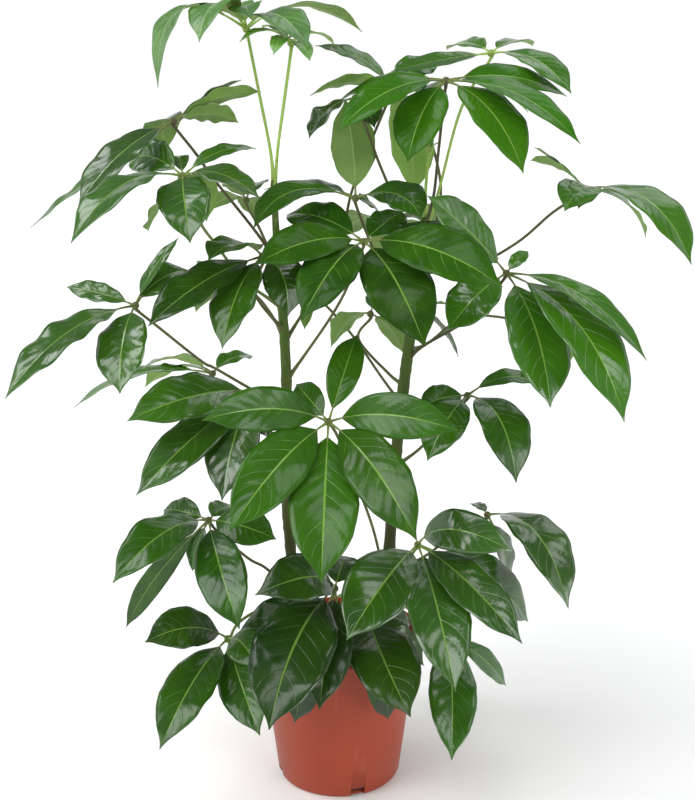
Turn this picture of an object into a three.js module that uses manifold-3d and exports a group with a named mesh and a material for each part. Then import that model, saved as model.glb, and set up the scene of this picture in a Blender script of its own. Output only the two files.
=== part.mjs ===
// Potted umbrella plant: two woody stems in one nursery pot, with fronds of drooping leaflets.
// Units are millimetres, +Z is up, and the origin is the middle of the underside of the pot.
import * as THREE from "three";
import { mergeVertices } from "three/addons/utils/BufferGeometryUtils.js";
import Module from "manifold-3d";

const wasm = await Module();
wasm.setup();

// Pot
const POT_HEIGHT = 190;
const POT_BASE_RADIUS = 77;
const POT_RIM_RADIUS = 105;
const POT_LIP_HEIGHT = 8;
const POT_LIP_OVERHANG = 5;
const POT_WALL = 2.2;
const POT_FLOOR = 3;
const POT_SEGMENTS = 32;
const POT_FOOT_INSET = 5;
const POT_FOOT_RISE = 6;
const POT_FOOT_ROUND = 1.5;
const POT_LIP_ROUND = 2;
const POT_FLOOR_CORNER = 5;
const NOTCH_WIDTH = 18;
const NOTCH_HEIGHT = 12;
const NOTCH_DEPTH = 14;
const NOTCH_TURNS = [18, 108, 198, 288];
const DRAIN_RADIUS = 5;
const DRAIN_CIRCLE = 46;
const DRAIN_COUNT = 5;
const DRAIN_SIDES = 8;

// Soil
const SOIL_LEVEL = 172;
const SOIL_RINGS = 2;
const SOIL_UNEVENNESS = 1.6;
const SOIL_RIPPLE = 8;
const SOIL_SWELL = 17;
const SOIL_EDGE = 2;
const SOIL_CORNER = 6;
const SOIL_CORNER_SPARE = 0.5;

// Corners nearer than this are one
const WELD_DISTANCE = 1e-4;

// Clear space between touching pieces
const SEAT_GAP = 0.3;

// Stems: points across and up, as drawn, and the stem's radius there
const STEM_SIDES = 8;
const STEM_STEPS = 13;
const STEM_HOLE_ROOM = 1.5;
const STEM_HOLE_SIDES = 12;
const STEM_KNOB = 0.5;
const STEM_SAMPLES = 200;
const CURVE_TENSION = 0.5;
const STEMS = {
  left: {
    forward: 10,
    points: [
      [-50, 60, 7],
      [-50, 172, 7],
      [-59, 290, 6.8],
      [-64, 380, 6.6],
      [-62, 500, 6.4],
      [-65, 585, 5.8],
      [-71, 670, 4.6],
      [-74, 748, 3.6],
    ],
  },
  right: {
    forward: -15,
    points: [
      [57, 60, 7.6],
      [57, 172, 7.6],
      [63, 300, 7.4],
      [71, 430, 7.2],
      [80, 520, 7],
      [91, 610, 6],
      [101, 705, 4.6],
    ],
  },
};

// The drawing: the eye is in front of the pot, and every place is given as it appears on the
// upright plane through the pot's axis, with how far it really lies forward of that plane.
const EYE = new THREE.Vector3(11, -1400, 830);

// Leaflets
const BLADE_THICKNESS = 0.9;
const BLADE_ROWS = [0, 0.13, 0.36, 0.62, 0.84, 1];
const SLIM_BLADE_ROWS = [0, 0.22, 0.55, 0.82, 1];
const SLIM_BLADE_WIDTH = 56;
const HIDDEN_BLADE_ROWS = [0, 0.3, 0.7, 1];
const BLADE_COLUMNS = 2;
const BLADE_FOLD = 0.16;
const BLADE_WAVE = 1.6;
const BLADE_WAVES = 3;
const BLADE_OUTLINE = [
  [0, 0.04],
  [0.04, 0.22],
  [0.1, 0.46],
  [0.24, 0.8],
  [0.4, 0.97],
  [0.52, 1],
  [0.64, 0.95],
  [0.74, 0.84],
  [0.83, 0.65],
  [0.9, 0.4],
  [0.95, 0.17],
  [1, 0],
];
const PETIOLULE_SHARE = 0.13;
const PETIOLULE_RADIUS = 1.3;
const PETIOLULE_START = 1.5;
const PETIOLE_RADIUS = 1.9;
const PETIOLE_BASE_RADIUS = 3;
const PETIOLE_SIDES = 5;
const PETIOLE_STEPS = 5;
const PETIOLE_FLARE_SHARE = 0.17;
const PETIOLE_TURN = 6;
const HUB_RADIUS = 5;

const NEAR = 1;
const FAR = -1;

// Each frond: its hub (across, up, forward), the way its umbrella faces, the stem and height that
// its petiole leaves, the points it passes, and its leaflets. A leaflet is the drawn place of its
// tip (across, up), its reach from hub to tip, whether the tip is nearer than the hub or farther,
// its width, its roll in degrees, its bow as a share of its reach and any bow to the side.
const FRONDS = [
  {
    name: "frond_top_left",
    tone: "young",
    hub: [-102, 914, -10],
    faces: [-0.2, -0.1, 1],
    stem: ["left", 742],
    by: [[-77, 780, 0], [-88, 840, -5]],
    leaflets: [
      [-203, 851, 132, NEAR, 44, 0, 0.42],
      [-155, 900, 118, NEAR, 50, 0, 0.28],
      [-97, 925, 90, NEAR, 40, 0, 0.2],
      [-32, 893, 118, NEAR, 52, 0, 0.22],
      [27, 911, 150, FAR, 46, 0, 0.18],
      [-112, 938, 95, FAR, 36, 0, 0.12],
    ],
  },
  {
    name: "frond_top_young",
    tone: "young",
    hub: [-52, 899, 30],
    faces: [0, -0.2, 1],
    stem: ["left", 728],
    by: [[-69, 780, 20], [-60, 840, 25]],
    leaflets: [
      [-110, 900, 66, NEAR, 22, 0, 0.2],
      [-72, 886, 48, NEAR, 20, 0, 0.25],
      [-31, 879, 48, NEAR, 20, 0, 0.2],
      [-3, 896, 62, FAR, 20, 0, 0.2],
      [-85, 915, 60, FAR, 18, 0, 0.15],
    ],
  },
  {
    name: "frond_upper_left",
    tone: "mature",
    hub: [-187, 813, 30],
    faces: [-0.2, -0.3, 1],
    stem: ["left", 655],
    by: [[-98, 692, 14], [-142, 748, 16], [-162, 777, 20]],
    leaflets: [
      [-109, 859, 95, FAR, 24, -34, 0.04],
      [-87, 846, 110, FAR, 32, -44, 0.08],
      [-113, 812, 82, FAR, 34, -44, 0.12],
      [-300, 718, 158, NEAR, 48, -12, 0.08],
      [-357, 693, 215, FAR, 24, -12, 0.02],
      [-197, 778, 95, FAR, 50, 0, 0.2],
    ],
  },
  {
    name: "frond_upper_left_inner",
    hidden: true,
    tone: "mature",
    hub: [-106, 725, -60],
    faces: [0, 0.5, 1],
    stem: ["left", 640],
    by: [[-90, 690, -35]],
    leaflets: [
      [-92, 702, 80, FAR, 40, 0, 0.15],
      [-150, 712, 80, FAR, 38, 0, 0.15],
      [-85, 745, 70, FAR, 36, 0, 0.1],
      [-128, 742, 60, NEAR, 30, 0, 0.1],
    ],
  },
  {
    name: "frond_left_front",
    tone: "mature",
    hub: [-178, 752, 85],
    faces: [-0.1, -0.4, 1],
    stem: ["left", 602],
    by: [[-110, 632, 45], [-143, 675, 65], [-160, 700, 70]],
    leaflets: [
      [-172, 675, 118, NEAR, 56, 0, 0.15],
      [-311, 675, 170, NEAR, 54, 6, 0.16],
      [-93, 783, 98, FAR, 24, 12, 0.12],
      [-90, 727, 105, NEAR, 38, 0, 0.15],
      [-221, 689, 90, FAR, 54, 0, 0.04],
      [-152, 700, 100, FAR, 44, 0, 0.2],
      [-181, 775, 66, FAR, 20, 0, 0.1],
      [-240, 768, 100, FAR, 46, -30, 0.14],
    ],
  },
  {
    name: "frond_left_middle",
    tone: "mature",
    hub: [-239, 602, 45],
    faces: [-0.2, -0.4, 1],
    stem: ["left", 478],
    by: [[-143, 524, 15], [-163, 535, 20], [-215, 578, 35]],
    leaflets: [
      [-262, 495, 125, NEAR, 58, 0, 0.12],
      [-400, 489, 200, NEAR, 50, -8, 0.11],
      [-319, 624, 95, FAR, 28, -16, 0.04],
      [-185, 682, 100, FAR, 18, 0, 0.06],
      [-176, 644, 85, FAR, 40, 30, 0.12],
    ],
  },
  {
    name: "frond_back_left",
    hidden: true,
    tone: "mature",
    hub: [-150, 520, -90],
    faces: [-0.1, 0.3, 1],
    stem: ["left", 430],
    by: [[-110, 480, -50]],
    leaflets: [
      [-100, 541, 75, FAR, 36, 20, 0.12],
      [-318, 478, 190, FAR, 46, -22, 0.12],
      [-235, 525, 110, NEAR, 38, 0, 0.15],
      [-232, 503, 120, FAR, 44, 0, 0.15],
    ],
  },
  {
    name: "frond_centre_left",
    tone: "mature",
    hub: [-88, 660, 75],
    faces: [-0.2, -0.5, 1],
    stem: ["left", 575],
    by: [[-98, 617, 50]],
    leaflets: [
      [-138, 550, 135, NEAR, 52, 0, 0.12],
      [-225, 577, 165, NEAR, 54, -10, 0.07],
      [-152, 655, 95, NEAR, 54, 0, 0.17],
      [-60, 588, 92, NEAR, 46, 0, 0.12, -0.12],
    ],
  },
  {
    name: "frond_centre",
    tone: "mature",
    hub: [30, 677, 60],
    faces: [0, -0.6, 0.8],
    stem: ["left", 512],
    by: [[-7, 591, 10], [18, 640, 25]],
    leaflets: [
      [103, 552, 160, NEAR, 76, 0, 0.14],
      [-43, 585, 145, NEAR, 60, 0, 0.14],
      [-97, 650, 140, NEAR, 52, -10, 0.12],
      [-60, 708, 115, FAR, 54, 0, 0.12],
      [75, 712, 88, FAR, 42, 0, 0.04],
      [188, 657, 170, FAR, 50, 0, 0.12],
      [193, 624, 178, NEAR, 66, 10, 0.12],
    ],
  },
  {
    name: "frond_centre_back",
    tone: "mature",
    hub: [20, 727, 15],
    faces: [0, 0.6, 0.8],
    stem: ["right", 600],
    by: [[55, 640, -30], [32, 690, 0]],
    leaflets: [
      [8, 838, 118, FAR, 56, 0, 0.1],
      [-98, 692, 138, NEAR, 38, -60, 0.21],
      [-85, 737, 112, FAR, 40, -40, 0.12],
      [97, 703, 95, NEAR, 52, 60, 0.2],
      [50, 708, 50, FAR, 30, 60, 0.1],
    ],
  },
  {
    name: "frond_top_right",
    tone: "mature",
    hub: [122, 858, 30],
    faces: [0, -0.3, 1],
    stem: ["right", 688],
    by: [[110, 728, 0], [115, 780, 12], [120, 835, 20]],
    leaflets: [
      [80, 768, 108, NEAR, 58, 0, 0.15],
      [0, 802, 147, NEAR, 48, -10, 0.12],
      [-1, 834, 135, FAR, 36, -8, 0.1],
      [213, 755, 148, NEAR, 64, 0, 0.14],
      [277, 788, 172, NEAR, 46, 0, 0.12],
      [259, 841, 150, FAR, 44, 20, 0.09],
      [216, 824, 110, FAR, 34, 0, 0.1],
    ],
  },
  {
    name: "frond_top_right_back",
    tone: "mature",
    hub: [172, 888, -70],
    faces: [0, -0.1, 1],
    stem: ["right", 672],
    by: [[116, 735, -42], [140, 828, -60]],
    leaflets: [
      [264, 844, 125, NEAR, 46, 10, 0.13],
      [219, 896, 95, FAR, 34, 0, 0.1],
      [122, 892, 95, FAR, 38, -14, 0.1],
      [60, 868, 125, NEAR, 38, -18, 0.02],
    ],
  },
  {
    name: "frond_top_centre",
    tone: "mature",
    hub: [62, 852, -50],
    faces: [0, 0.1, 1],
    stem: ["left", 560],
    by: [[-20, 630, -30], [5, 690, -40], [18, 741, -45], [50, 820, -50]],
    leaflets: [
      [-25, 896, 105, FAR, 36, -25, 0.1],
      [-31, 842, 110, NEAR, 30, 22, 0.1],
      [88, 732, 135, FAR, 58, 0, 0.12],
      [112, 878, 80, FAR, 44, 34, 0.08],
    ],
  },
  {
    name: "frond_top_centre_small",
    tone: "mature",
    hub: [20, 839, 4],
    faces: [-0.2, -0.2, 1],
    stem: ["right", 664],
    by: [[75, 705, -22], [48, 765, -12], [35, 800, 6]],
    leaflets: [
      [-33, 794, 77, NEAR, 34, 0, 0.15],
      [42, 806, 70, NEAR, 36, 0, 0.15],
    ],
  },
  {
    name: "frond_right_upper",
    tone: "mature",
    hub: [285, 738, -20],
    faces: [0.2, -0.3, 1],
    stem: ["right", 640],
    by: [[150, 645, -30], [207, 675, -28], [250, 712, -24]],
    leaflets: [
      [413, 650, 168, NEAR, 62, 4, 0.19],
      [262, 712, 95, NEAR, 44, 0, 0.15],
      [278, 715, 85, NEAR, 38, 0, 0.15],
      [220, 770, 85, FAR, 34, 32, 0.1],
      [224, 785, 95, FAR, 34, 28, 0.03],
      [358, 682, 110, FAR, 40, 0, 0.15],
    ],
  },
  {
    name: "frond_right_middle",
    tone: "mature",
    hub: [197, 640, 30],
    faces: [0.2, -0.5, 1],
    stem: ["right", 533],
    by: [[100, 553, -5], [160, 590, 10]],
    leaflets: [
      [103, 730, 138, NEAR, 54, -30, 0.03],
      [130, 572, 100, NEAR, 54, 0, 0.12],
      [255, 478, 172, NEAR, 74, 0, 0.12],
      [345, 460, 232, NEAR, 72, 0, 0.12, -0.04],
      [368, 535, 200, NEAR, 42, 0, 0.14],
      [222, 666, 40, FAR, 18, 0, 0.1],
    ],
  },
  {
    name: "frond_right_lower",
    tone: "mature",
    hub: [155, 493, 20],
    faces: [0.1, -0.4, 1],
    stem: ["right", 400],
    by: [[100, 428, 0], [130, 463, 10]],
    leaflets: [
      [217, 383, 132, NEAR, 60, 0, 0.26],
      [245, 503, 95, FAR, 30, 0, 0.22],
      [108, 411, 105, NEAR, 50, 0, 0.15],
      [97, 478, 66, NEAR, 36, -20, 0.08],
    ],
  },
  {
    name: "frond_front_centre",
    tone: "mature",
    hub: [-12, 460, 150],
    faces: [0, -1, 0.35],
    stem: ["right", 235],
    by: [[45, 315, 30], [25, 375, 80], [0, 440, 125]],
    leaflets: [
      [-22, 252, 192, NEAR, 70, 0, 0.08],
      [-135, 320, 178, NEAR, 60, 0, 0.1, 0.04],
      [97, 308, 180, NEAR, 60, 0, 0.1, -0.05],
      [145, 449, 150, NEAR, 50, 0, 0.1, -0.07],
      [-165, 462, 148, NEAR, 46, 0, 0.1, 0.08],
      [22, 567, 115, FAR, 38, 0, 0.08],
      [-50, 507, 70, FAR, 34, 0, 0.1],
    ],
  },
  {
    name: "frond_left_inner",
    tone: "mature",
    hub: [-100, 498, 65],
    faces: [-0.2, -0.9, 0.8],
    stem: ["left", 395],
    by: [[-85, 450, 40]],
    leaflets: [
      [-255, 461, 165, NEAR, 64, 0, 0.1],
      [-248, 367, 195, NEAR, 54, 0, 0.06],
      [-143, 360, 150, NEAR, 62, 0, 0.12],
      [-85, 440, 75, NEAR, 40, 0, 0.12],
    ],
  },
  {
    name: "frond_lower_left",
    tone: "mature",
    hub: [-160, 335, 60],
    faces: [-0.2, -0.8, 0.9],
    stem: ["left", 240],
    by: [[-88, 270, 30], [-112, 285, 35], [-145, 315, 50]],
    leaflets: [
      [-282, 252, 152, NEAR, 58, 0, 0.17],
      [-268, 192, 180, FAR, 29, -40, 0.08],
      [-182, 268, 70, FAR, 26, 0, 0.1],
      [-125, 190, 150, NEAR, 57, 0, 0.12],
      [-77, 310, 90, NEAR, 50, 0, 0.12],
      [-215, 348, 70, FAR, 36, 0, 0.12],
      [-130, 354, 50, FAR, 34, 0, 0.1],
    ],
  },
  {
    name: "frond_bottom_left",
    tone: "mature",
    hub: [-140, 177, 110],
    faces: [-0.2, -0.9, 0.9],
    stem: ["left", 215],
    by: [[-85, 222, 55], [-125, 200, 95]],
    leaflets: [
      [-245, 172, 108, NEAR, 54, 0, 0.13, 0.08],
      [-232, 22, 175, NEAR, 58, 0, 0.1],
      [-102, 42, 140, NEAR, 54, 0, 0.1],
      [-104, 135, 72, NEAR, 42, 0, 0.16, -0.1],
    ],
  },
  {
    name: "frond_bottom_front",
    tone: "mature",
    hub: [-5, 245, 135],
    faces: [0, -0.7, 0.7],
    stem: ["left", 205],
    by: [[-35, 225, 60], [-15, 243, 105]],
    leaflets: [
      [-105, 236, 112, NEAR, 58, 0, 0.28],
      [-90, 50, 200, NEAR, 84, 0, 0.1, 0.05],
      [-57, 60, 178, FAR, 50, 0, 0.1],
      [-25, 78, 154, NEAR, 54, 0, 0.08],
      [-120, 100, 180, FAR, 62, 0, 0.08, 0.12],
      [10, 132, 106, FAR, 44, 0, 0.05],
      [9, 288, 62, FAR, 48, 0, 0.1],
    ],
  },
  {
    name: "frond_lower_right",
    tone: "mature",
    hub: [98, 303, 110],
    faces: [0, -0.7, 0.8],
    stem: ["right", 225],
    by: [[75, 262, 40], [92, 292, 90]],
    leaflets: [
      [10, 175, 160, NEAR, 76, 0, 0.12],
      [149, 104, 200, NEAR, 66, 0, 0.1],
      [232, 170, 188, NEAR, 52, 0, 0.1],
      [238, 200, 174, FAR, 58, 0, 0.15],
      [218, 293, 122, NEAR, 48, 20, 0.3],
    ],
  },
  {
    name: "frond_right_low_back",
    tone: "mature",
    hub: [183, 342, 10],
    faces: [0.2, -0.4, 1],
    stem: ["right", 255],
    by: [[110, 290, -5], [150, 325, 0]],
    leaflets: [
      [288, 218, 170, NEAR, 62, 0, 0.25],
      [163, 357, 40, FAR, 18, 0, 0.1],
      [205, 240, 115, FAR, 50, 0, 0.1],
    ],
  },
  {
    name: "frond_bottom_right",
    tone: "mature",
    hub: [138, 180, 60],
    faces: [0.1, -0.6, 1],
    stem: ["right", 205],
    by: [[100, 200, 30]],
    leaflets: [
      [146, 6, 176, NEAR, 58, 0, 0.1],
      [213, 112, 105, FAR, 34, 0, 0.1],
    ],
  },
  {
    name: "frond_bottom_centre",
    tone: "mature",
    hub: [36, 212, 120],
    faces: [0.1, -0.7, 0.8],
    stem: ["right", 195],
    by: [[52, 208, 60]],
    leaflets: [
      [92, 68, 162, NEAR, 76, 0, 0.1, 0.05],
      [63, 65, 145, FAR, 50, 0, 0.1],
      [108, 140, 92, FAR, 36, 0, 0.1],
      [93, 256, 75, FAR, 38, 0, 0.1],
      [90, 196, 64, FAR, 36, 0, 0.1],
    ],
  },
  {
    name: "frond_centre_low_back",
    hidden: true,
    tone: "mature",
    hub: [38, 592, -75],
    faces: [0, 0.4, 1],
    stem: ["right", 500],
    by: [[60, 520, -45], [24, 562, -72]],
    leaflets: [
      [77, 545, 72, FAR, 42, 0, 0.15],
      [-9, 551, 74, FAR, 46, 0, 0.28, 0.1],
      [60, 620, 70, FAR, 34, 0, 0.12],
    ],
  },
  {
    name: "frond_centre_far",
    hidden: true,
    tone: "mature",
    hub: [-28, 622, -142],
    faces: [0, 0.5, 1],
    stem: ["right", 480],
    by: [[52, 515, -75], [20, 562, -138], [-5, 592, -144]],
    leaflets: [
      [-40, 573, 60, FAR, 18, 0, 0.12],
      [-60, 650, 90, FAR, 40, 0, 0.12],
      [0, 660, 90, FAR, 40, 0, 0.12],
    ],
  },
  {
    name: "frond_right_thin_back",
    hidden: true,
    tone: "mature",
    hub: [97, 598, -85],
    faces: [0, 0.4, 1],
    stem: ["right", 560],
    by: [[95, 580, -50]],
    leaflets: [
      [143, 540, 80, FAR, 26, 50, 0.1],
      [130, 603, 40, FAR, 16, 0, 0.1],
      [70, 650, 90, FAR, 36, 0, 0.1],
    ],
  },
  {
    name: "frond_top_sprout",
    hidden: true,
    tone: "young",
    hub: [105, 783, -12],
    faces: [0, -0.2, 1],
    stem: ["right", 702],
    by: [[101, 735, -20], [103, 765, -18]],
    leaflets: [
      [97, 795, 16, NEAR, 9, 0, 0.1],
      [106, 799, 16, FAR, 9, 0, 0.1],
      [117, 790, 15, NEAR, 9, 0, 0.1],
    ],
  },
  {
    name: "frond_back_upper",
    hidden: true,
    tone: "mature",
    hub: [60, 695, -150],
    faces: [0, 0.6, 0.9],
    stem: ["right", 625],
    by: [[78, 660, -90]],
    leaflets: [
      [130, 690, 150, FAR, 54, 0, 0.15],
      [-10, 675, 150, FAR, 54, 0, 0.15],
      [60, 640, 145, FAR, 52, 0, 0.15],
      [105, 655, 150, FAR, 52, 0, 0.15],
    ],
  },
  {
    name: "frond_back_middle",
    hidden: true,
    tone: "mature",
    hub: [-15, 405, -130],
    faces: [0, 0.6, 0.9],
    stem: ["left", 330],
    by: [[-35, 375, -70]],
    leaflets: [
      [-68, 375, 145, FAR, 50, 0, 0.15],
      [38, 368, 145, FAR, 50, 0, 0.15],
      [-15, 325, 145, FAR, 52, 0, 0.15],
      [-62, 425, 125, FAR, 46, 0, 0.12],
    ],
  },
  {
    name: "frond_back_right",
    hidden: true,
    tone: "mature",
    hub: [262, 580, -120],
    faces: [0.2, 0.6, 0.9],
    stem: ["right", 548],
    by: [[105, 556, -45], [160, 590, -75]],
    leaflets: [
      [316, 524, 140, FAR, 48, 0, 0.15],
      [262, 516, 145, FAR, 50, 0, 0.15],
      [226, 556, 120, FAR, 46, 0, 0.12],
      [290, 598, 110, NEAR, 40, 0, 0.12],
    ],
  },
  {
    name: "frond_back_left_upper",
    hidden: true,
    tone: "mature",
    hub: [-125, 630, -130],
    faces: [-0.2, 0.6, 0.9],
    stem: ["left", 560],
    by: [[-78, 590, -40], [-100, 617, -90]],
    leaflets: [
      [-168, 594, 140, FAR, 48, 0, 0.15],
      [-124, 576, 140, FAR, 50, 0, 0.15],
      [-160, 645, 115, FAR, 44, 0, 0.12],
      [-98, 632, 115, FAR, 44, 0, 0.12],
    ],
  },
  {
    name: "frond_back_low",
    hidden: true,
    tone: "mature",
    hub: [50, 245, -130],
    faces: [0, 0.6, 0.9],
    stem: ["right", 215],
    by: [[55, 232, -70]],
    leaflets: [
      [106, 200, 140, FAR, 50, 0, 0.15],
      [48, 155, 145, FAR, 52, 0, 0.15],
      [-5, 192, 140, FAR, 50, 0, 0.12],
      [82, 258, 115, FAR, 46, 0, 0.12],
    ],
  },
  {
    name: "frond_back_top",
    hidden: true,
    tone: "mature",
    hub: [92, 838, -130],
    faces: [0, 0.5, 1],
    stem: ["right", 656],
    by: [[114, 700, -60], [118, 745, -85], [104, 800, -115]],
    leaflets: [
      [70, 800, 120, FAR, 44, 0, 0.15],
      [105, 800, 120, FAR, 44, 0, 0.15],
      [112, 845, 110, FAR, 42, 0, 0.12],
      [70, 850, 115, FAR, 42, 0, 0.12],
    ],
  },
];

const PALETTE = {
  pot: { color: 0xa04b3c, roughness: 0.5, metalness: 0 },
  soil: { color: 0x2b1d14, roughness: 1, metalness: 0 },
  stem: { color: 0x5c5a2c, roughness: 0.8, metalness: 0 },
  mature: { color: 0x2f6b1c, roughness: 0.4, metalness: 0 },
  young: { color: 0x8db44a, roughness: 0.5, metalness: 0 },
};

function seen(across, up, forward) {
  const share = 1 - forward / -EYE.y;
  return new THREE.Vector3(across, 0, up).sub(EYE).multiplyScalar(share).add(EYE);
}

// Solids and meshes
function solidOf(geometry) {
  const plain = new THREE.BufferGeometry();
  plain.setAttribute("position", geometry.getAttribute("position"));
  if (geometry.index) plain.setIndex(geometry.index);
  const merged = mergeVertices(plain, WELD_DISTANCE);
  const corners = merged.index.array;
  const kept = [];
  for (let i = 0; i < corners.length; i += 3) {
    const [a, b, c] = corners.subarray(i, i + 3);
    if (a !== b && b !== c && c !== a) kept.push(a, b, c);
  }
  const mesh = new wasm.Mesh({
    numProp: 3,
    vertProperties: new Float32Array(merged.getAttribute("position").array),
    triVerts: new Uint32Array(kept),
  });
  return new wasm.Manifold(mesh);
}

function meshOf(solid, name, finish) {
  const made = solid.getMesh();
  const geometry = new THREE.BufferGeometry();
  geometry.setAttribute("position", new THREE.BufferAttribute(made.vertProperties, made.numProp));
  geometry.setIndex(new THREE.BufferAttribute(made.triVerts, 1));
  geometry.computeVertexNormals();
  const mesh = new THREE.Mesh(geometry, new THREE.MeshStandardMaterial(PALETTE[finish]));
  mesh.name = name;
  return mesh;
}

// The joined solids as one body, with any pocket sealed between them filled.
function unionOf(solids) {
  const bodies = solids.reduce((whole, next) => whole.add(next)).decompose();
  return bodies.reduce((best, body) => (body.volume() > best.volume() ? body : best));
}

// A round tube along a curve: a cylinder whose rings are moved onto the curve.
function tubeAlong(curve, radiusAt, sides, steps) {
  const frames = curve.computeFrenetFrames(steps, false);
  const geometry = new THREE.CylinderGeometry(1, 1, 1, sides, steps);
  const position = geometry.getAttribute("position");
  const place = new THREE.Vector3();
  for (let i = 0; i < position.count; i += 1) {
    const step = Math.round((position.getY(i) + 0.5) * steps);
    const along = step / steps;
    const radius = radiusAt(along);
    curve.getPointAt(along, place);
    place.addScaledVector(frames.normals[step], position.getZ(i) * radius);
    place.addScaledVector(frames.binormals[step], position.getX(i) * radius);
    position.setXYZ(i, place.x, place.y, place.z);
  }
  return solidOf(geometry);
}

// A lathe's profile is drawn as radius and height, and stands upright.
function turned(profile, segments) {
  const points = profile.map(([radius, height]) => new THREE.Vector2(radius, height));
  return new THREE.LatheGeometry(points, segments).rotateX(Math.PI / 2);
}

// Pot
function potWall(height) {
  const slope = (POT_RIM_RADIUS - POT_LIP_OVERHANG - POT_BASE_RADIUS) / (POT_HEIGHT - POT_LIP_HEIGHT);
  return POT_BASE_RADIUS + slope * height;
}

function makePot() {
  const lip = POT_HEIGHT - POT_LIP_HEIGHT;
  const profile = [
    [0, 0],
    [POT_BASE_RADIUS - POT_FOOT_INSET, 0],
    [POT_BASE_RADIUS - POT_FOOT_ROUND, POT_FOOT_ROUND],
    [potWall(POT_FOOT_RISE), POT_FOOT_RISE],
    [potWall(lip), lip],
    [POT_RIM_RADIUS, POT_HEIGHT - POT_LIP_ROUND],
    [POT_RIM_RADIUS - POT_LIP_ROUND, POT_HEIGHT],
    [potWall(POT_HEIGHT) - POT_WALL, POT_HEIGHT],
    [potWall(POT_FLOOR + POT_FLOOR_CORNER) - POT_WALL, POT_FLOOR + POT_FLOOR_CORNER],
    [POT_BASE_RADIUS - POT_WALL - POT_FLOOR_CORNER, POT_FLOOR],
    [0, POT_FLOOR],
  ];
  let pot = solidOf(turned(profile, POT_SEGMENTS));
  for (const turn of NOTCH_TURNS) {
    const cutter = new THREE.BoxGeometry(NOTCH_WIDTH, NOTCH_DEPTH, NOTCH_HEIGHT * 2);
    cutter.translate(0, -POT_BASE_RADIUS, 0);
    cutter.rotateZ(THREE.MathUtils.degToRad(turn));
    pot = pot.subtract(solidOf(cutter));
  }
  for (let i = 0; i < DRAIN_COUNT; i += 1) {
    const drill = new THREE.CylinderGeometry(DRAIN_RADIUS, DRAIN_RADIUS, POT_FLOOR * 4, DRAIN_SIDES);
    drill.rotateX(Math.PI / 2);
    drill.translate(DRAIN_CIRCLE, 0, 0);
    drill.rotateZ(((i + 0.5) / DRAIN_COUNT) * Math.PI * 2);
    pot = pot.subtract(solidOf(drill));
  }
  return pot;
}

// Stems
function stemCurve(stem) {
  const points = stem.points.map(([across, up]) => seen(across, up, stem.forward));
  return new THREE.CatmullRomCurve3(points, false, "catmullrom", CURVE_TENSION);
}

function stemRadiusAt(stem, along) {
  const place = along * (stem.points.length - 1);
  const index = Math.min(Math.floor(place), stem.points.length - 2);
  return THREE.MathUtils.lerp(stem.points[index][2], stem.points[index + 1][2], place - index);
}

function makeStem(stem, extra) {
  const knob = (along) => STEM_KNOB * (Math.round(along * STEM_STEPS) % 2);
  const radiusAt = (along) => stemRadiusAt(stem, along) - knob(along) + extra;
  return tubeAlong(stemCurve(stem), radiusAt, STEM_SIDES, STEM_STEPS);
}

function stemPointAt(stem, height) {
  const samples = stemCurve(stem).getSpacedPoints(STEM_SAMPLES);
  return samples.reduce((best, point) =>
    Math.abs(point.z - height) < Math.abs(best.z - height) ? point : best,
  );
}

// Soil
function makeSoil() {
  const clear = POT_WALL + SEAT_GAP;
  const corner = POT_FLOOR + SOIL_CORNER;
  const profile = [
    [0, POT_FLOOR + SEAT_GAP],
    [POT_BASE_RADIUS - clear - SOIL_CORNER, POT_FLOOR + SEAT_GAP],
    [potWall(corner) - clear - SOIL_CORNER_SPARE, corner],
    [potWall(SOIL_LEVEL) - clear, SOIL_LEVEL - SOIL_EDGE],
  ];
  for (let ring = SOIL_RINGS - 1; ring >= 0; ring -= 1) {
    const share = ring / SOIL_RINGS;
    profile.push([share * (potWall(SOIL_LEVEL) - clear), SOIL_LEVEL]);
  }
  const geometry = turned(profile, POT_SEGMENTS);
  const position = geometry.getAttribute("position");
  for (let i = 0; i < position.count; i += 1) {
    if (position.getZ(i) < SOIL_LEVEL - SOIL_EDGE / 2) continue;
    const x = position.getX(i);
    const y = position.getY(i);
    const rise = Math.sin(x / SOIL_RIPPLE + 1) * Math.cos(y / SOIL_RIPPLE) + Math.sin((x - y) / SOIL_SWELL);
    position.setZ(i, SOIL_LEVEL + SOIL_UNEVENNESS * rise);
  }
  let soil = solidOf(geometry);
  for (const stem of Object.values(STEMS)) {
    const radius = stemRadiusAt(stem, 0) + STEM_HOLE_ROOM;
    const hole = new THREE.CylinderGeometry(radius, radius, SOIL_LEVEL, STEM_HOLE_SIDES);
    hole.rotateX(Math.PI / 2);
    const foot = stemCurve(stem).getPoint(0);
    hole.translate(foot.x, foot.y, foot.z - SEAT_GAP + SOIL_LEVEL / 2);
    soil = soil.subtract(solidOf(hole));
  }
  return soil;
}

// Leaflets
function outlineAt(along) {
  const next = Math.max(1, BLADE_OUTLINE.findIndex(([place]) => place >= along));
  const [startPlace, startWidth] = BLADE_OUTLINE[next - 1];
  const [endPlace, endWidth] = BLADE_OUTLINE[next];
  return THREE.MathUtils.mapLinear(along, startPlace, endPlace, startWidth, endWidth);
}

// The tip lies on its line of sight, at the leaflet's own reach from the hub.
function tipOf(hub, across, up, reach, side) {
  const sight = new THREE.Vector3(across, 0, up).sub(EYE);
  const toEye = EYE.clone().sub(hub);
  const a = sight.dot(sight);
  const b = sight.dot(toEye);
  const c = toEye.dot(toEye) - reach * reach;
  const root = Math.sqrt(Math.max(0, b * b - a * c));
  return sight.multiplyScalar((-b - side * root) / a).add(EYE);
}

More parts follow.
